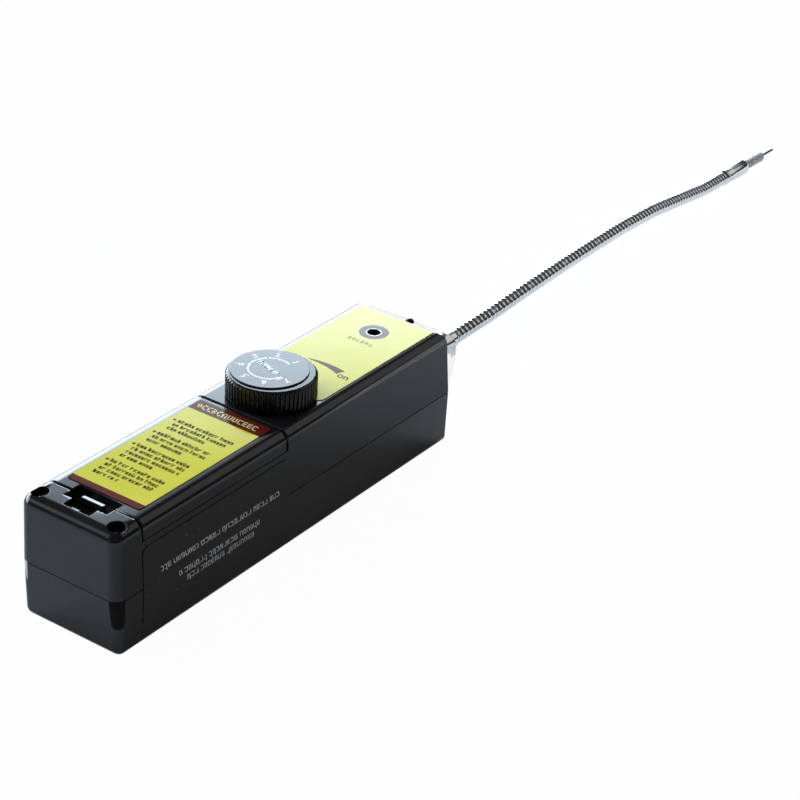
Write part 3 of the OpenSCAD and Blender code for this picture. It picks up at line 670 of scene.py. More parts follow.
class Piece:
    """One mesh in the making, in millimetres, that becomes one object."""

    def __init__(self, name: str, body: str, finish: Finish) -> None:
        """Start an empty piece that will ride on a body."""
        self.name = name
        self.body = body
        self.finish = finish
        self.bm = bmesh.new()

    def block(self, place: Matrix, size: Point) -> None:
        """Add a block.

        Args:
            place: its middle and its turn.
            size: its three sides.
        """
        bmesh.ops.create_cube(self.bm, size=1.0, matrix=place @ Matrix.Diagonal((*size, 1.0)))

    def lathe(self, profile: Sequence[Pair], steps: int = 48, closed: bool = False,
              place: Optional[Matrix] = None) -> List[bmesh.types.BMVert]:
        """Turn a profile round the Z axis.

        Args:
            profile: radius and height of its points.
            steps: facets round the axis.
            closed: whether the profile's end joins its start, as for a ring.
            place: where the turned shape goes.

        Returns:
            The shape's vertices.
        """
        old = set(self.bm.verts)
        line = [self.bm.verts.new((radius, 0.0, height)) for radius, height in profile]
        ends = line[1:] + line[:1] if closed else line[1:]
        edges = [self.bm.edges.new(pair) for pair in zip(line, ends)]
        bmesh.ops.spin(self.bm, geom=line + edges, cent=(0, 0, 0), axis=(0, 0, 1), angle=math.tau,
                       steps=steps, use_merge=True)
        made = [v for v in self.bm.verts if v not in old]
        bmesh.ops.remove_doubles(self.bm, verts=made, dist=1e-4)
        made = [v for v in self.bm.verts if v not in old]
        faces = list({f for v in made for f in v.link_faces})
        bmesh.ops.recalc_face_normals(self.bm, faces=faces)
        if place is not None:
            bmesh.ops.transform(self.bm, matrix=place, verts=made)
        return made

    def words(self, text: str, size: float, place: Matrix, thick: float, slant: float = 0.0,
              weight: float = 0.0) -> None:
        """Add flat raised characters, centred on their place.

        Args:
            text: the characters.
            size: the type's size.
            place: the matrix of the middle, the reading direction and the up direction.
            thick: height of the characters.
            slant: how far they lean in the reading direction.
            weight: how much bolder they are drawn.
        """
        curve = bpy.data.curves.new(self.name, "FONT")
        settings = {"body": text, "size": size, "align_x": "CENTER", "align_y": "CENTER", "resolution_u": 4,
                    "extrude": thick / 2, "shear": slant, "offset": weight}
        for key, setting in settings.items():
            setattr(curve, key, setting)
        holder = link(self.name + "_type", curve)
        bpy.context.view_layer.update()
        evaluated = holder.evaluated_get(bpy.context.evaluated_depsgraph_get())
        mesh = bpy.data.meshes.new_from_object(evaluated)
        mesh.transform(place)
        self.bm.from_mesh(mesh)
        bpy.data.objects.remove(holder)
        bpy.data.curves.remove(curve)
        bpy.data.meshes.remove(mesh)

    def thicken(self, thick: float) -> None:
        """Raise the flat marks made so far to a thickness."""
        grown = bmesh.ops.extrude_face_region(self.bm, geom=self.bm.faces[:])["geom"]
        bmesh.ops.translate(self.bm, vec=(0, 0, thick), verts=only_verts(grown))

    def to_object(self, smooth: float = 32.0, even: bool = False) -> bpy.types.Object:
        """Turn the piece into an object on its body.

        Args:
            smooth: largest angle, in degrees, that is shaded as one curved face.
            even: whether large faces decide the shading of the small ones beside them.

        Returns:
            The object.
        """
        bmesh.ops.scale(self.bm, vec=(MM, MM, MM), verts=self.bm.verts)
        for face in self.bm.faces:
            face.smooth = True
        mesh = bpy.data.meshes.new(self.name)
        self.bm.to_mesh(mesh)
        self.bm.free()
        mesh.set_sharp_from_angle(angle=math.radians(smooth))
        mesh.materials.append(self.finish.material())
        made = link(self.name, mesh)
        if even:
            weigh = made.modifiers.new("even_shading", "WEIGHTED_NORMAL")
            weigh.keep_sharp = True
            weigh.use_face_influence = True
        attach(made, self.body)
        LOG.info("%s: %d faces, rides on %s", made.name, len(mesh.polygons), self.body)
        return made


Pick = Callable[[bmesh.types.BMEdge], bool]


def every_edge(edge: bmesh.types.BMEdge) -> bool:
    """Pick an edge, whichever it is."""
    return True


@dataclass
class SoftShell:
    """A CAD node's own shape with its chosen hard edges eased, as a mould leaves them."""

    node: str
    body: str
    finish: Finish
    eased: Sequence[Tuple[Pick, float]] = ()
    smooth: float = 32.0
    flat_deg: float = 0.4
    hard_deg: float = 40.0
    broad: float = 1.5
    strength: int = 16384
    segments: int = 3
    reshape: Optional[Callable[[bmesh.types.BMesh], None]] = None

    def build(self) -> bpy.types.Object:
        """Copy the node, ease its edges and put the copy in its place.

        Returns:
            The finished object.
        """
        piece = Piece(self.node + "_eased", self.body, self.finish)
        bm = piece.bm
        copy_node(bm, self.node)
        bmesh.ops.dissolve_limit(bm, angle_limit=math.radians(self.flat_deg), verts=bm.verts, edges=bm.edges)
        if self.reshape is not None:
            self.reshape(bm)
        for pick, width in self.eased:
            chosen = [e for e in bm.edges if self._hard(e) and pick(e)]
            bmesh.ops.bevel(bm, geom=chosen, offset=width, offset_type="OFFSET", affect="EDGES",
                            segments=self.segments, profile=0.5, material=-1, clamp_overlap=False)
        self._rank(bm)
        bmesh.ops.triangulate(bm, faces=[f for f in bm.faces if len(f.verts) > 4])
        made = piece.to_object(self.smooth, even=True)
        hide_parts(self.node)
        return made

    def _rank(self, bm: bmesh.types.BMesh) -> None:
        """Let the broad faces decide the shading where they meet narrow ones, so that flats look flat."""
        rank = bm.faces.layers.int.new("__mod_weightednormals_faceweight")
        for face in bm.faces:
            longest = max(edge.calc_length() for edge in face.edges)
            broad = face.calc_area() > self.broad * longest or face.normal.z > LEVEL_COSINE
            face[rank] = self.strength if broad else -self.strength

    def _hard(self, edge: bmesh.types.BMEdge) -> bool:
        """Tell whether an edge is an outer corner of the shape."""
        if len(edge.link_faces) != 2 or not edge.is_convex:
            return False
        return edge.calc_face_angle() > math.radians(self.hard_deg)


@dataclass
class Housing:
    """The two shells, the battery lid, the lens and the screws: what is seen of the case."""

    top: float = 46.0
    half_width: float = 21.0
    half_length: float = 90.0
    case_shoulder: Pair = (16.22, 0.012)
    lid_shoulder: Pair = (15.4, 0.045)
    tongue_x: Pair = (-78.3, -76.6)
    tongue_half: float = 4.6
    tongue_top: float = 45.4
    tongue_lean: float = 0.16
    lid_rim: float = 38.7
    cuts: Pair = (-77.9, -4.5)
    lid_ends: Pair = (-77.2, -5.2)
    near: float = 0.06
    corner: float = 0.5
    cap_corner: float = 0.16
    tongue_corner: float = 0.2
    lens_corner: float = 0.3
    screw_corner: float = 0.12
    cap_depth: float = 0.9
    ledge_width: float = 1.5
    cut_reach: float = 5.0
    lens_back: float = 1.0

    def build(self) -> List[bpy.types.Object]:
        """Build the mouldings and the screws.

        Returns:
            The objects.
        """
        shells = (
            SoftShell("upper_case", "case", CASE_PLASTIC,
                      ((self.on_cap, self.cap_corner), (self.on_top, self.corner),
                       (self.at_cut(self.cuts), self.corner), (self.on_ledge, self.corner)),
                      reshape=self.fall_off_case),
            SoftShell("lower_case", "case", CASE_PLASTIC),
            SoftShell("battery_lid", "lid", CASE_PLASTIC,
                      ((self.on_top, self.corner), (self.at_cut(self.lid_ends), self.corner),
                       (self.on_ledge, self.corner), (self.on_tongue, self.tongue_corner)),
                      reshape=self.shape_lid),
            SoftShell("nose_lens", "case", LENS_PLASTIC, ((self.on_lens, self.lens_corner),)),
            SoftShell("nose_screw", "case", DARK_STEEL, smooth=45.0),
            SoftShell("case_screws", "case", SCREW_STEEL, ((every_edge, self.screw_corner),)),
        )
        return [shell.build() for shell in shells]

    @staticmethod
    def _all(edge: bmesh.types.BMEdge, test: Callable[[Vector], bool]) -> bool:
        """Tell whether both ends of an edge pass a test."""
        return all(test(v.co) for v in edge.verts)

    def on_cap(self, edge: bmesh.types.BMEdge) -> bool:
        """Pick the rims of the screw holes and the latch recess in the battery end's top."""
        return self._all(edge, lambda co: co.z > self.top - self.cap_depth
                         and co.x < self.cuts[0] - self.near)

    def on_top(self, edge: bmesh.types.BMEdge) -> bool:
        """Pick the rims of the holes and recesses in the flat top."""
        return self._all(edge, lambda co: co.z > self.top - self.near)

    def on_ledge(self, edge: bmesh.types.BMEdge) -> bool:
        """Pick the long edges where the lid sits on the shell."""
        return self._all(edge, lambda co: abs(co.z - self.lid_rim) < self.near
                         and abs(co.y) > self.half_width - self.ledge_width)

    def on_tongue(self, edge: bmesh.types.BMEdge) -> bool:
        """Pick the edges round the top of the latch tongue."""
        return self._all(edge, self._at_tongue)

    def _at_tongue(self, spot: Vector) -> bool:
        """Tell whether a point is at the top of the latch tongue."""
        low, high = self.tongue_x
        return (low - self.near < spot.x < high + self.near and abs(spot.y) < self.tongue_half
                and self.tongue_top - 2 * self.tongue_lean < spot.z < self.tongue_top + self.near)

    def fall_off_case(self, bm: bmesh.types.BMesh) -> None:
        """Let the flat top of the upper shell fall off at its long edges."""
        self._fall_off(bm, *self.case_shoulder)

    def _fall_off(self, bm: bmesh.types.BMesh, inner: float, drop: float) -> None:
        """Lower the long edges of a flat top.

        Args:
            bm: the moulding.
            inner: how far from the middle the top starts to fall.
            drop: how far it falls before the rounded edge starts.
        """
        for side in (-1, 1):
            top = [f for f in bm.faces
                   if f.normal.z > LEVEL_COSINE and f.calc_center_median().z > self.top - self.near]
            geom = list({*top, *(e for f in top for e in f.edges), *(v for f in top for v in f.verts)})
            bmesh.ops.bisect_plane(bm, geom=geom, plane_co=(0, side * inner, 0), plane_no=(0, side, 0))
        edge = [v for v in bm.verts if abs(v.co.y) > inner + self.near and v.co.z > self.top - self.near / 2]
        bmesh.ops.translate(bm, vec=(0, 0, -drop), verts=edge)

    def shape_lid(self, bm: bmesh.types.BMesh) -> None:
        """Let the lid's flat top fall off, and slope the top of its latch tongue towards the label."""
        self._fall_off(bm, *self.lid_shoulder)
        far = [v for v in bm.verts if self._at_tongue(v.co) and v.co.x > self.tongue_x[1] - self.near]
        bmesh.ops.translate(bm, vec=(0, 0, -self.tongue_lean), verts=far)

    def at_cut(self, places: Pair) -> Pick:
        """Make the pick of the outer edges at the lid's ends.

        Args:
            places: where the two ends are along the case.

        Returns:
            The pick.
        """
        def pick(edge: bmesh.types.BMEdge) -> bool:
            """Pick an outer edge in either end's plane."""
            return any(self._all(edge, lambda co: abs(co.x - place) < self.near and (
                co.z > self.top - self.near or co.z > self.lid_rim - self.near
                and abs(co.y) > self.half_width - self.cut_reach)) for place in places)
        return pick

    def on_lens(self, edge: bmesh.types.BMEdge) -> bool:
        """Pick the lens's front edges."""
        return self._all(edge, lambda co: co.x > self.half_length + self.lens_back)


@dataclass
class PrintSheet:
    """A flat printed area: marks are placed by reading direction and up, from an origin."""

    origin: Point
    right: Sequence[float] = (0.0, -1.0, 0.0)
    up: Sequence[float] = (1.0, 0.0, 0.0)
    thick: float = 0.03
    word_gap: float = 0.45

    def at(self, along: float, above: float, turn: float = 0.0) -> Matrix:
        """Return the matrix of a place on the sheet, turned about the face by degrees."""
        right, up = Vector(self.right).normalized(), Vector(self.up).normalized()
        middle = Vector(self.origin) + right * along + up * above
        face = Matrix.LocRotScale(middle, Matrix((right, up, right.cross(up))).transposed(), None)
        return face @ Matrix.Rotation(math.radians(turn), 4, "Z")

    def greek(self, piece: Piece, left: float, end: float, base: float, hand: "Lettering", rng: random.Random,
              shortest: int = 2, longest: int = 8) -> None:
        """Add one line of made-up letters that stand for unreadable words.

        Args:
            piece: the piece that gets them.
            left, end: where the line starts and ends.
            base: the line's foot.
            hand: size and weight of the letters.
            rng: source of the words' lengths and letters.
            shortest, longest: how many letters a word has.
        """
        spot = left
        while spot < end - hand.height:
            for _ in range(rng.randint(shortest, longest)):
                width = hand.height * rng.choice(hand.widths)
                if spot + width > end:
                    return
                self._letter(piece, spot, width, base, hand, rng)
                spot += width + hand.gap * hand.height
            spot += self.word_gap * hand.height

    def _letter(self, piece: Piece, left: float, width: float, base: float, hand: "Lettering",
                rng: random.Random) -> None:
        """Add one made-up letter.

        Args:
            piece: the piece that gets it.
            left: where the letter starts.
            width: its width.
            base: the line's foot.
            hand: size and weight of the letters.
            rng: source of the letter's strokes.
        """
        stroke = hand.stroke
        top = hand.height
        bars = {
            Stroke.STEM: (0.0, stroke, 0.0, top * (hand.tall if rng.random() < hand.tall_share else 1.0)),
            Stroke.FAR_STEM: (width - stroke, width, 0.0, top),
            Stroke.FOOT: (0.0, width, 0.0, stroke),
            Stroke.WAIST: (0.0, width, (top - stroke) / 2, (top + stroke) / 2),
            Stroke.HEAD: (0.0, width, top - stroke, top),
        }
        for kind in rng.choice(hand.shapes):
            start, end, low, high = bars[kind]
            above = (low + high) / 2
            middle = self.at(left + (start + end) / 2 + hand.slant * above, base + above)
            shear = Matrix(((1, hand.slant, 0, 0), (0, 1, 0, 0), (0, 0, 1, 0), (0, 0, 0, 1)))
            piece.block(middle @ shear, (end - start, high - low, self.thick))


class Stroke(Enum):
    """The strokes that a made-up letter is put together from."""

    STEM = "stem"
    FAR_STEM = "far_stem"
    FOOT = "foot"
    WAIST = "waist"
    HEAD = "head"


@dataclass(frozen=True)
class Lettering:
    """Size, weight and slope of made-up lettering."""

    height: float
    stroke: float
    tall: float = 1.4
    tall_share: float = 0.25
    slant: float = 0.0
    gap: float = 0.24
    widths: Sequence[float] = (0.6, 0.7, 0.75, 0.85)
    shapes: Sequence[Sequence[Stroke]] = (
        (Stroke.STEM, Stroke.FAR_STEM, Stroke.HEAD),
        (Stroke.STEM, Stroke.FAR_STEM, Stroke.FOOT),
        (Stroke.STEM, Stroke.FAR_STEM, Stroke.HEAD, Stroke.FOOT),
        (Stroke.STEM, Stroke.HEAD, Stroke.WAIST, Stroke.FOOT),
        (Stroke.STEM, Stroke.HEAD, Stroke.FOOT),
        (Stroke.STEM, Stroke.HEAD),
        (Stroke.FAR_STEM, Stroke.WAIST, Stroke.FOOT, Stroke.HEAD),
    )


@dataclass
class InstructionPrint:
    """Print on the lid's yellow label: two maroon bands, a heading and four blocks of greeked lines."""

    bands: Sequence[Pair] = ((-13.6, -7.0), (-73.2, -70.3))
    band_grown: Pair = (1.01, 1.001)
    band_lift: float = 0.015
    heading: Point = (-13.2, 13.6, -11.8)
    heading_letters: int = 12
    heading_hand: Lettering = Lettering(2.8, 0.5, tall_share=0.0, slant=-0.2, gap=0.16,
                                        widths=(0.56, 0.6, 0.66))
    text_left: float = -11.43
    text_hand: Lettering = Lettering(1.5, 0.44, slant=-0.2, gap=0.2)
    blocks: Sequence[Sequence[Pair]] = (
        ((-23.07, 12.4), (-25.86, 12.4), (-28.64, 6.4)),
        ((-33.36, 12.0), (-36.14, 12.0), (-38.86, 4.3)),
        ((-43.57, 11.9), (-46.29, 11.9), (-49.07, 11.9), (-51.86, 2.4)),
        ((-56.43, 12.0), (-59.21, 11.6), (-61.93, 11.9), (-64.71, -0.1)),
    )
    bullet: Pair = (1.7, 1.4)
    bullet_left: float = -13.0
    seed: int = 11

    def build(self) -> List[bpy.types.Object]:
        """Build the bands, the heading and the lines.

        Returns:
            The objects.
        """
        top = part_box("instruction_label")[1].z / MM
        sheet = PrintSheet((0.0, 0.0, top))
        rng = random.Random(self.seed)
        bands = Piece("instruction_bands", "lid", MAROON_INK)
        for start, end in self.bands:
            self._band(bands, start, end)
        lines = Piece("instruction_lines", "lid", TEXT_INK)
        bullets = Piece("instruction_bullets", "lid", MAROON_INK)
        for block in self.blocks:
            for middle, end in block:
                foot = middle - self.text_hand.height / 2
                sheet.greek(lines, self.text_left, end, foot, self.text_hand, rng)
            bmesh.ops.create_circle(
                bullets.bm, cap_ends=True, radius=0.5, segments=4,
                matrix=sheet.at(self.bullet_left, block[0][0]) @ Matrix.Diagonal((*self.bullet, 1.0, 1.0)))
        bullets.thicken(sheet.thick / 2)
        heading = Piece("instruction_heading", "lid", HEADING_INK)
        raised = PrintSheet((0.0, 0.0, top + sheet.thick / 2))
        raised.greek(heading, *self.heading, self.heading_hand, rng, self.heading_letters,
                     self.heading_letters)
        return [piece.to_object() for piece in (bands, lines, bullets, heading)]

    def _band(self, piece: Piece, start: float, end: float) -> None:
        """Cut one band out of a copy of the label and lay it closely round the film.

        Args:
            piece: the piece that gets it.
            start, end: where the band starts and ends along the case.
        """
        strip = bmesh.new()
        copy_node(strip, "instruction_label")
        for place, side in ((start, -1), (end, 1)):
            bmesh.ops.bisect_plane(strip, geom=strip.verts[:] + strip.edges[:] + strip.faces[:],
                                   plane_co=(place, 0, 0), plane_no=(side, 0, 0), clear_outer=True)
        middle = sum((v.co for v in strip.verts), Vector()) / len(strip.verts)
        bmesh.ops.scale(strip, vec=(*self.band_grown, 1.0), space=Matrix.Translation(-middle),
                        verts=strip.verts)
        bmesh.ops.translate(strip, vec=(0, 0, self.band_lift), verts=strip.verts)
        mesh = bpy.data.meshes.new(piece.name)
        strip.to_mesh(mesh)
        strip.free()
        worn = mesh.attributes.get("custom_normal")
        if worn is not None:
            mesh.attributes.remove(worn)
        piece.bm.from_mesh(mesh)
        bpy.data.meshes.remove(mesh)


@dataclass
class FrontPrint:
    """Print on the yellow front label: the ring round the sound hole, its caption and the turning arrow."""

    hole: Pair = (71.0, 0.0)
    ring: Pair = (2.95, 5.4)
    inner_ring: Pair = (2.55, 2.95)
    caption: Point = (-4.8, 7.4, 61.3)
    caption_letters: int = 6
    caption_hand: Lettering = Lettering(1.7, 0.24, tall_share=0.0, slant=-0.2, gap=0.5, widths=(0.6, 0.66))
    seed: int = 5
    axis: Pair = (12.0, 0.0)
    arc_radius: float = 28.5
    arc: Pair = (12.0, -19.0)
    arc_widths: Pair = (0.1, 3.5)
    arc_growth: float = 0.8
    arc_steps: int = 24
    word: Point = (37.3, -12.0, 4.6)
    word_slant: float = -0.25
    word_weight: float = 0.08
    notch_deg: float = 1.6

    def build(self) -> List[bpy.types.Object]:
        """Build the printed marks.

        Returns:
            The objects.
        """
        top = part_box("front_label")[1].z / MM
        sheet = PrintSheet((0.0, 0.0, top))
        ring = Piece("sound_hole_ring", "case", RING_INK_WITH_GLARE)
        inner = Piece("sound_hole_white", "case", WHITE_INK)
        for piece, (inside, outside) in ((ring, self.ring), (inner, self.inner_ring)):
            profile = ((inside, 0.0), (outside, 0.0), (outside, sheet.thick / 2), (inside, sheet.thick / 2))
            piece.lathe(profile, closed=True, place=Matrix.Translation((*self.hole, top)))
        caption = Piece("sound_hole_caption", "case", TEXT_INK)
        sheet.greek(caption, *self.caption, self.caption_hand, random.Random(self.seed), self.caption_letters,
                    self.caption_letters)
        arrow = Piece("turn_arrow", "case", MAROON_INK)
        self._swoosh(arrow, top, sheet.thick / 2)
        word = Piece("turn_word", "case", TEXT_INK)
        x, y, size = self.word
        word.words("on", size, sheet.at(-y, x), sheet.thick, self.word_slant, self.word_weight)
        return [piece.to_object() for piece in (ring, inner, caption, arrow, word)]

    def _swoosh(self, piece: Piece, top: float, thick: float) -> None:
        """Sweep the arrow round the knob's axis: it widens towards its notched end.

        Args:
            piece: the piece that gets it.
            top: height of the label's face.
            thick: thickness of the print.
        """
        bm = piece.bm
        start, end = (math.radians(angle) for angle in self.arc)
        turn = Matrix.Rotation((end - start) / self.arc_steps, 4, "Z")
        centre = Vector((*self.axis, top))
        spoke = Vector((math.cos(start), math.sin(start), 0.0))
        thin, wide = self.arc_widths
        pair = [bm.verts.new(centre + spoke * (self.arc_radius + side * thin / 2)) for side in (-1, 1)]
        edge = bm.edges.new(pair)
        for step in range(1, self.arc_steps + 1):
            grown = bmesh.ops.extrude_edge_only(bm, edges=[edge])["geom"]
            pair = only_verts(grown)
            edge = next(e for e in grown if isinstance(e, bmesh.types.BMEdge) and set(e.verts) == set(pair))
            bmesh.ops.rotate(bm, cent=centre, matrix=turn, verts=pair)
            middle = (pair[0].co + pair[1].co) / 2
            grown_width = thin + (wide - thin) * (step / self.arc_steps) ** self.arc_growth
            share = grown_width / (pair[0].co - pair[1].co).length
            bmesh.ops.scale(bm, vec=(share, share, 1.0), space=Matrix.Translation(-middle), verts=pair)
        notch = only_verts(bmesh.ops.subdivide_edges(bm, edges=[edge], cuts=1)["geom_inner"])
        back = Matrix.Rotation(math.radians(self.notch_deg), 3, "Z")
        bmesh.ops.rotate(bm, cent=centre, matrix=back, verts=notch)
        bmesh.ops.recalc_face_normals(bm, faces=bm.faces)
        piece.thicken(thick)
        bmesh.ops.recalc_face_normals(bm, faces=bm.faces)


@dataclass
class SidePrint:
    """Three greeked lines on the black side label, which is read from the other long side."""

    upper_lines: Sequence[Point] = ((24.8, -71.5, -9.8),)
    lower_lines: Sequence[Point] = ((18.6, -61.9, -20.0), (15.25, -57.7, -23.0))
    hand: Lettering = Lettering(1.9, 0.3, tall_share=0.15, slant=-0.2)
    parting: float = 21.5
    half_width: float = 21.0
    slopes: Pair = (-0.4 / 20.3, 0.3 / 18.5)
    seed: int = 3

    def build(self) -> List[bpy.types.Object]:
        """Build the lines.

        Returns:
            The objects.
        """
        film = -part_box("side_label")[0].y / MM - self.half_width
        rng = random.Random(self.seed)
        made = []
        for name, lines, slope in (("side_line_upper", self.upper_lines, self.slopes[0]),
                                   ("side_line_lower", self.lower_lines, self.slopes[1])):
            piece = Piece(name, "case", GREY_INK)
            for height, start, end in lines:
                face = -self.half_width - film + slope * (self.parting - height)
                sheet = PrintSheet((0.0, face, height), (-1.0, 0.0, 0.0), (0.0, slope, -1.0))
                sheet.greek(piece, -end, -start, -self.hand.height / 2, self.hand, rng)
            made.append(piece.to_object())
        return made


@dataclass
class SensitivityKnob:
    """The fluted knob, its dark dial disc and what is printed on the disc."""

    middle: Pair = (12.0, 0.9)
    digits: int = 7
    digit_radius: float = 9.9
    first_deg: float = 24.0
    step_deg: float = -46.2
    digit_size: float = 3.7
    digit_weight: float = 0.05
    tick_radius: float = 12.3
    arc_radius: float = 7.4
    arc_width: float = 0.6
    arc_deg: Pair = (25.0, -238.0)
    arc_steps: int = 60
    head: Pair = (2.2, 2.4)
    caption: Pair = (12.4, -18.0)
    caption_letters: Tuple[int, int] = (11, 14)
    caption_hand: Lettering = Lettering(1.9, 0.5, tall_share=0.0, gap=0.14)
    dot_radius: float = 0.55
    disc_corner: float = 0.12
    seed: int = 2

    def build(self) -> List[bpy.types.Object]:
        """Build the knob, the disc and its print.

        Returns:
            The objects.
        """
        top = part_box("dial_plate")[1].z / MM
        knob = SoftShell("knob", "knob", KNOB_PLASTIC, smooth=28.0).build()
        disc = SoftShell("dial_plate", "knob", DIAL_FACE, ((every_edge, self.disc_corner),)).build()
        sheet = PrintSheet((*self.middle, top))
        digits = Piece("dial_digits", "knob", WHITE_INK)
        ticks = Piece("dial_ticks", "knob", RED_INK)
        for number in range(1, self.digits + 1):
            angle = self.first_deg + self.step_deg * (number - 1)
            spoke = sheet.at(0.0, 0.0, -angle)
            digits.words(str(number), self.digit_size, spoke @ Matrix.Translation((0, self.digit_radius, 0)),
                         sheet.thick, weight=self.digit_weight)
            dot = spoke @ Matrix.Translation((0, self.tick_radius, 0))
            bmesh.ops.create_cone(ticks.bm, cap_ends=True, segments=16, radius1=self.dot_radius,
                                  radius2=self.dot_radius, depth=sheet.thick, matrix=dot)
        sweep = Piece("dial_arc", "knob", WHITE_INK)
        self._arc(sweep, sheet)
        caption = Piece("dial_caption", "knob", WHITE_INK)
        length, turn = self.caption
        slanted = sheet.at(0.0, 0.0, turn).to_3x3()
        tilted = PrintSheet(sheet.origin, slanted @ Vector((1, 0, 0)), slanted @ Vector((0, 1, 0)))
        tilted.greek(caption, -length / 2, length / 2, -self.caption_hand.height / 2, self.caption_hand,
                     random.Random(self.seed), *self.caption_letters)
        return [knob, disc] + [piece.to_object() for piece in (digits, ticks, sweep, caption)]

    def _arc(self, piece: Piece, sheet: PrintSheet) -> None:
        """Sweep the curved arrow on the disc.

        Args:
            piece: the piece that gets it.
            sheet: the disc's face.
        """
        bm = piece.bm
        start, end = (math.radians(-angle) for angle in self.arc_deg)
        half, thick = self.arc_width / 2, sheet.thick / 2
        section = [bm.verts.new((side * half, 0.0, level * thick)) for side, level in
                   ((-1, -1), (1, -1), (1, 1), (-1, 1))]
        face = bm.faces.new(section)
        bmesh.ops.rotate(bm, cent=(0, 0, 0), matrix=Matrix.Rotation(math.pi / 2, 4, "Z"), verts=section)
        bmesh.ops.translate(bm, vec=(0, self.arc_radius, 0), verts=section)
        bmesh.ops.rotate(bm, cent=(0, 0, 0), matrix=Matrix.Rotation(start, 4, "Z"), verts=section)
        bmesh.ops.spin(bm, geom=[face, *face.edges, *section], cent=(0, 0, 0), axis=(0, 0, 1),
                       angle=end - start, steps=self.arc_steps)
        width, length = self.head
        place = Matrix.Rotation(end, 4, "Z") @ Matrix.Translation((-length / 3, self.arc_radius, 0.0))
        bmesh.ops.create_cone(bm, cap_ends=True, segments=3, radius1=1.0, radius2=1.0, depth=sheet.thick,
                              matrix=place @ Matrix.Rotation(math.pi / 2, 4, "Z")
                              @ Matrix.Diagonal((width / math.sqrt(3), length / 1.5, 1.0, 1.0)))
        bmesh.ops.recalc_face_normals(bm, faces=bm.faces)
        bmesh.ops.transform(bm, matrix=sheet.at(0.0, 0.0), verts=bm.verts)


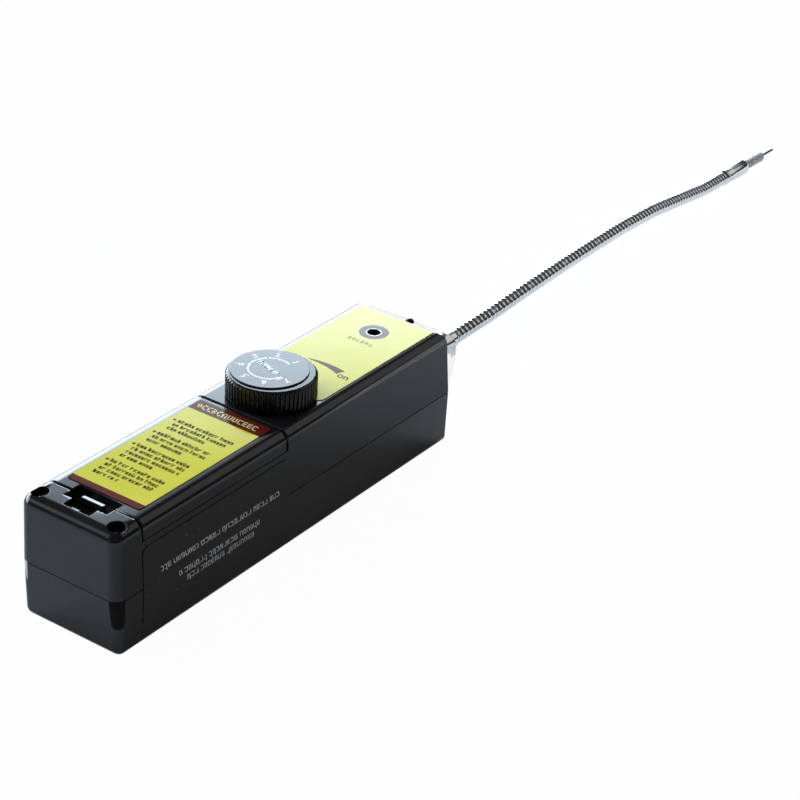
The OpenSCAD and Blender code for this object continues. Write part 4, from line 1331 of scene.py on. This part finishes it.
@dataclass
class BendableProbe:
    """The chrome probe: smooth base ferrule, ridged bendable hose, end fitting, sensor guard and needle."""

    start: Point = (122.975, 0.0, 23.2)
    length: float = 26.3
    last_length: float = 21.04
    elevations: Sequence[float] = (0, 1.5, 0, -1.2, -2.5, -5.2, -9, -9.5, -5.5)
    headings: Sequence[float] = (0.8, 1.2, 1.7, 2.1, 2.6, 3, 3.4, 3.8, 4.3)
    pitch: float = 2.63
    crest: float = 2.9
    groove: float = 2.42
    nose: float = 2.4
    nose_steps: int = 8
    hinge_gap: float = 0.3
    ridge_shares: Sequence[float] = (0.08, 0.16, 0.28, 0.42, 0.58, 0.72, 0.84, 0.92)
    ridge_span: float = 0.86
    steps: int = 40
    ferrule_radius: float = 3.3
    ferrule_x: Pair = (84.6, 122.5)
    ferrule_end: Sequence[Pair] = ((0.0, 4.2), (0.18, 4.0), (0.18, 3.7), (0.0, 3.5), (0.0, 0.5), (0.3, 0.0))
    flange: Pair = (6.0, 2.0)
    flange_corner: float = 0.3
    ferrule_steps: int = 64
    fitting: Sequence[Pair] = (
        (0.0, 0.0), (2.9, 0.0), (3.3, 0.2), (3.45, 0.5), (3.45, 1.5), (3.3, 1.8), (2.95, 2.0), (2.95, 2.3),
        (3.1, 2.6), (3.3, 8.0), (3.5, 12.5), (3.5, 20.4), (3.4, 21.6), (3.05, 22.6), (2.6, 23.2), (2.2, 23.4),
        (0.0, 23.4))
    guard: Sequence[Pair] = (
        (0.0, 23.4), (2.2, 23.4), (2.2, 42.2), (2.05, 42.6), (1.7, 42.8), (0.9, 42.8), (0.8, 42.2),
        (0.0, 42.2))
    needle: Sequence[Pair] = (
        (0.0, 42.3), (0.5, 42.3), (0.5, 56.6), (0.42, 57.1), (0.25, 57.4), (0.0, 57.5))
    hose_smooth: float = 40.0
    ferrule_smooth: float = 25.0
    tip_smooth: float = 30.0

    def build(self) -> List[bpy.types.Object]:
        """Build the hose and what is on its two ends.

        Returns:
            The objects.
        """
        return [self._base()] + self._hose() + self._tip()

    def direction(self, index: int) -> Vector:
        """Return the direction of one bending length, counted from the case."""
        elevation, heading = math.radians(self.elevations[index]), math.radians(self.headings[index])
        return Vector((math.cos(elevation) * math.cos(heading), math.cos(elevation) * math.sin(heading),
                       math.sin(elevation)))

    def hinge(self, index: int) -> Vector:
        """Return the point where one bending length starts."""
        point = Vector(self.start)
        for passed in range(index):
            last = passed == len(self.elevations) - 1
            point = point + self.direction(passed) * (self.last_length if last else self.length)
        return point

    @staticmethod
    def along(point: Vector, direction: Vector) -> Matrix:
        """Return the matrix that lays a lathed shape's axis along a direction."""
        turn = Vector((0, 0, 1)).rotation_difference(direction)
        return Matrix.Translation(point) @ turn.to_matrix().to_4x4()

    def _ridges(self, length: float, fixed: bool) -> List[Pair]:
        """Make the outline of one bending length: a round nose that turns in the length before, then ridges.

        Args:
            length: how far the length reaches from its hinge.
            fixed: whether it ends in a fitting, not in the next hinge.

        Returns:
            Radius and height of its points.
        """
        points: List[Pair] = []
        for step in range(self.nose_steps + 1):
            angle = math.radians(90.0 * step / self.nose_steps)
            points.append((self.nose * math.sin(angle), -self.nose * math.cos(angle)))
        points.append((self.groove, self.hinge_gap))
        count = round(length / self.pitch)
        for ridge in range(count):
            if ridge:
                points.append((self.groove, ridge * self.pitch))
            for share in self.ridge_shares:
                height = (ridge + share) * self.pitch
                if self.hinge_gap < height and (fixed or height < length - self.hinge_gap):
                    round_off = math.sqrt(1 - (2 * abs(share - 0.5) / self.ridge_span) ** 2)
                    points.append((self.groove + (self.crest - self.groove) * round_off, height))
        high = length if fixed else length - self.hinge_gap
        return points + [(self.groove, high), (0.0, high)]

    def _hose(self) -> List[bpy.types.Object]:
        """Build the hose as lengths that turn on one hinge each."""
        made = []
        count = len(self.elevations)
        for index in range(count):
            fixed = index == count - 1
            body = "probe_tip" if fixed else f"hose_{index + 1}"
            piece = Piece(f"hose_stretch_{index + 1}", body, HOSE_CHROME)
            piece.lathe(self._ridges(self.last_length if fixed else self.length, fixed), self.steps,
                        place=self.along(self.hinge(index), self.direction(index)))
            stretch = piece.to_object(self.hose_smooth)
            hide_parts(f"hose_{index + 1}")
            made.append(stretch)
        return made

    def _base(self) -> bpy.types.Object:
        """Build the smooth ferrule that leaves the case."""
        radius = self.ferrule_radius
        start, end = self.ferrule_x
        flange, thick = self.flange
        piece = Piece("base_ferrule_turned", "case", TIP_CHROME)
        corner = self.flange_corner
        profile = [(0.0, start), (flange - corner, start), (flange, start + corner), (flange, start + thick),
                   (radius, start + thick)]
        profile += [(radius - cut, end - back) for cut, back in self.ferrule_end]
        piece.lathe(profile + [(0.0, end)], self.ferrule_steps,
                    place=self.along(Vector((0.0, 0.0, self.start[2])), Vector((1, 0, 0))))
        made = piece.to_object(self.ferrule_smooth)
        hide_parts("base_ferrule")
        return made

    def _tip(self) -> List[bpy.types.Object]:
        """Build the end fitting, the sensor's guard and the needle."""
        last = len(self.elevations)
        place = self.along(self.hinge(last), self.direction(last - 1))
        made = []
        for name, node, finish, profile, steps in (
                ("tip_fitting", "tip_ferrule", TIP_CHROME, self.fitting, 64),
                ("sensor_guard", "sensor_sleeve", SENSOR_METAL, self.guard, 48),
                ("needle", "sensor_needle", NEEDLE_STEEL, self.needle, 24)):
            turned = Piece(name, "probe_tip", finish)
            turned.lathe(profile, steps, place=place)
            piece = turned.to_object(self.tip_smooth)
            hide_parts(node)
            made.append(piece)
        return made


class Works:
    """The hidden works and the films: CAD nodes that keep their shape and get a finish."""

    def dress(self) -> List[str]:
        """Give every node the finish of its slot.

        Returns:
            The dressed nodes' names.
        """
        dressed = []
        for name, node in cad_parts.items():
            for place, worn in enumerate(node.data.materials):
                finish = SLOT_FINISH.get(worn.name)
                if finish is not None:
                    node.data.materials[place] = finish.material()
                    dressed.append(name)
                    LOG.info("%s: dressed as %s", name, finish.name)
        return dressed


@dataclass
class Studio:
    """Pale floor, soft light from the far side and the camera."""

    eye: Point = (-554.4, -439.5, 447.3)
    ahead: Point = (0.7207, 0.4916, -0.4888)
    down: Point = (-0.3718, -0.3211, -0.8710)
    lens: float = 108.4
    sensor: float = 36.0
    far_side: Point = (0.2588, 0.9659, 0.0)
    backdrop_edge: Point = (-0.4617, 0.887, 0.0)
    left_panel: Point = (-0.618, 0.537, 0.574)
    right_panel: Point = (0.74, -0.38, 0.55)
    backdrop_level: float = 4.3
    backdrop_fade: Pair = (0.45, 0.7)
    backdrop_side: Pair = (-0.04, 0.03)
    backdrop_top: Pair = (0.49, 0.517)
    backdrop_low: Pair = (0.455, 0.488)
    backdrop_weights: Pair = (2.0, 1.05)
    backdrop_tint: Colour = (0.82, 0.98, 1.12)
    halo_level: float = 1.1
    halo_fade: Pair = (0.2, 0.6)
    halo_top: Pair = (0.5, 0.72)
    halo_foot: Pair = (0.3, 0.5)
    left_level: float = 0.5
    left_fade: Pair = (0.955, 0.99)
    right_level: float = 0.55
    right_fade: Pair = (0.9, 0.965)
    room_level: float = 0.03
    room_rise: Pair = (0.1, 0.4)
    lamp_watts: float = 4.2
    lamp_size: float = 1.4
    lamp_place: Point = (0.05, -0.1, 1.5)
    floor_size: float = 4.0
    floor_tones: Tuple[Colour, Colour] = ((0.88, 0.88, 0.88), (0.92, 0.92, 0.92))
    floor_patch: float = 60.0
    floor_white: float = 0.97
    floor_mirrored: float = 0.4
    floor_dimmed: float = 0.2
    floor_bright: Pair = (150.0, 230.0)

    def build(self) -> None:
        """Build the camera, the floor, the room and the lamp."""
        bpy.context.scene.view_settings.view_transform = "Standard"
        self._camera()
        self._floor()
        self._world()
        self._lamp()

    def _camera(self) -> None:
        """Set the camera at the photograph's viewing angle."""
        lens = bpy.data.cameras.new("camera")
        lens.lens = self.lens
        lens.sensor_width = self.sensor
        lens.sensor_fit = "HORIZONTAL"
        camera = link("camera", lens)
        back = -Vector(self.ahead).normalized()
        up = -Vector(self.down).normalized()
        turn = Matrix((up.cross(back), up, back)).transposed()
        camera.matrix_world = Matrix.LocRotScale(Vector(self.eye) * MM, turn, None)
        bpy.context.scene.camera = camera

    def _floor(self) -> None:
        """Lay a floor that is white to the eye and still takes the shadow."""
        bm = bmesh.new()
        bmesh.ops.create_grid(bm, x_segments=8, y_segments=8, size=self.floor_size)
        mesh = bpy.data.meshes.new("floor")
        bm.to_mesh(mesh)
        bm.free()
        material = bpy.data.materials.new("pale_floor")
        material.use_nodes = True
        graph = Graph(material.node_tree)
        glossy = graph.ray("Glossy")
        mirrored = glossy * graph.axis("X").ramp(*self.floor_bright) * self.floor_mirrored
        tone = graph.mix(graph.noise(self.floor_patch, 2.0), *self.floor_tones)
        paper = graph.node("ShaderNodeBsdfDiffuse", None, {
            "Color": graph.mix(glossy * self.floor_dimmed, tone, (0.0, 0.0, 0.0))})
        graph.end_white((graph.seen() * self.floor_white).larger(mirrored), paper, "ShaderNodeEmission",
                        "ShaderNodeOutputMaterial")
        mesh.materials.append(material)
        floor = link("floor", mesh)

    def _world(self) -> None:
        """Light the room by direction: a bright far side and two soft panels, all of it white to the eye."""
        world = bpy.data.worlds.new("room")
        world.use_nodes = True
        graph = Graph(world.node_tree)
        direction = graph.node("ShaderNodeTexCoord").outputs["Generated"]
        height = graph.value("ShaderNodeSeparateXYZ", None, {0: direction}, "Z")
        far = self._towards(graph, direction, self.far_side)
        left = self._towards(graph, direction, self.left_panel)
        right = self._towards(graph, direction, self.right_panel)
        edge = self._towards(graph, direction, self.backdrop_edge).ramp(*self.backdrop_side)
        low_weight, drop = self.backdrop_weights
        bright = far.ramp(*self.backdrop_fade) * edge * (1 - height.ramp(*self.backdrop_top))
        bright = bright * (low_weight - height.ramp(*self.backdrop_low) * drop)
        halo = far.ramp(*self.halo_fade) * (1 - height.ramp(*self.halo_top)) * height.ramp(*self.halo_foot)
        level = (bright * self.backdrop_level + halo * self.halo_level
                 + left.ramp(*self.left_fade) * self.left_level
                 + right.ramp(*self.right_fade) * self.right_level
                 + height.ramp(*self.room_rise) * self.room_level + self.room_level)
        tone = graph.mix(bright.larger(halo), WHITE, self.backdrop_tint)
        room = graph.node("ShaderNodeBackground", None, {"Color": tone, "Strength": level})
        graph.end_white(graph.seen(), room, "ShaderNodeBackground", "ShaderNodeOutputWorld")
        bpy.context.scene.world = world

    @staticmethod
    def _towards(graph: Graph, direction: bpy.types.NodeSocket, middle: Point) -> Value:
        """Return how nearly a direction points at a place in the room: 1 straight at it, 0 square to it."""
        made = graph.node("ShaderNodeVectorMath", {"operation": "DOT_PRODUCT"},
                          {0: direction, 1: tuple(Vector(middle).normalized())})
        return Value(graph, made.outputs["Value"])

    def _lamp(self) -> None:
        """Hang the soft lamp that evens the light from above and leaves no mirror image."""
        lamp = bpy.data.lights.new("overhead_softbox", "AREA")
        lamp.shape = "DISK"
        lamp.size = self.lamp_size
        lamp.energy = self.lamp_watts
        made = link("overhead_softbox", lamp)
        made.visible_glossy = False
        made.location = self.lamp_place


def main() -> None:
    """Build the detector, its print and the studio, and log how many pieces were built and nodes dressed."""
    logging.basicConfig(level=logging.INFO, format="%(name)s %(message)s")
    Studio().build()
    made: List[bpy.types.Object] = []
    for assembly in (Housing, InstructionPrint, FrontPrint, SidePrint, SensitivityKnob, BendableProbe):
        made += assembly().build()
    dressed = Works().dress()
    LOG.info("%d pieces built, %d nodes dressed", len(made), len(dressed))


if __name__ == "__main__":
    main()
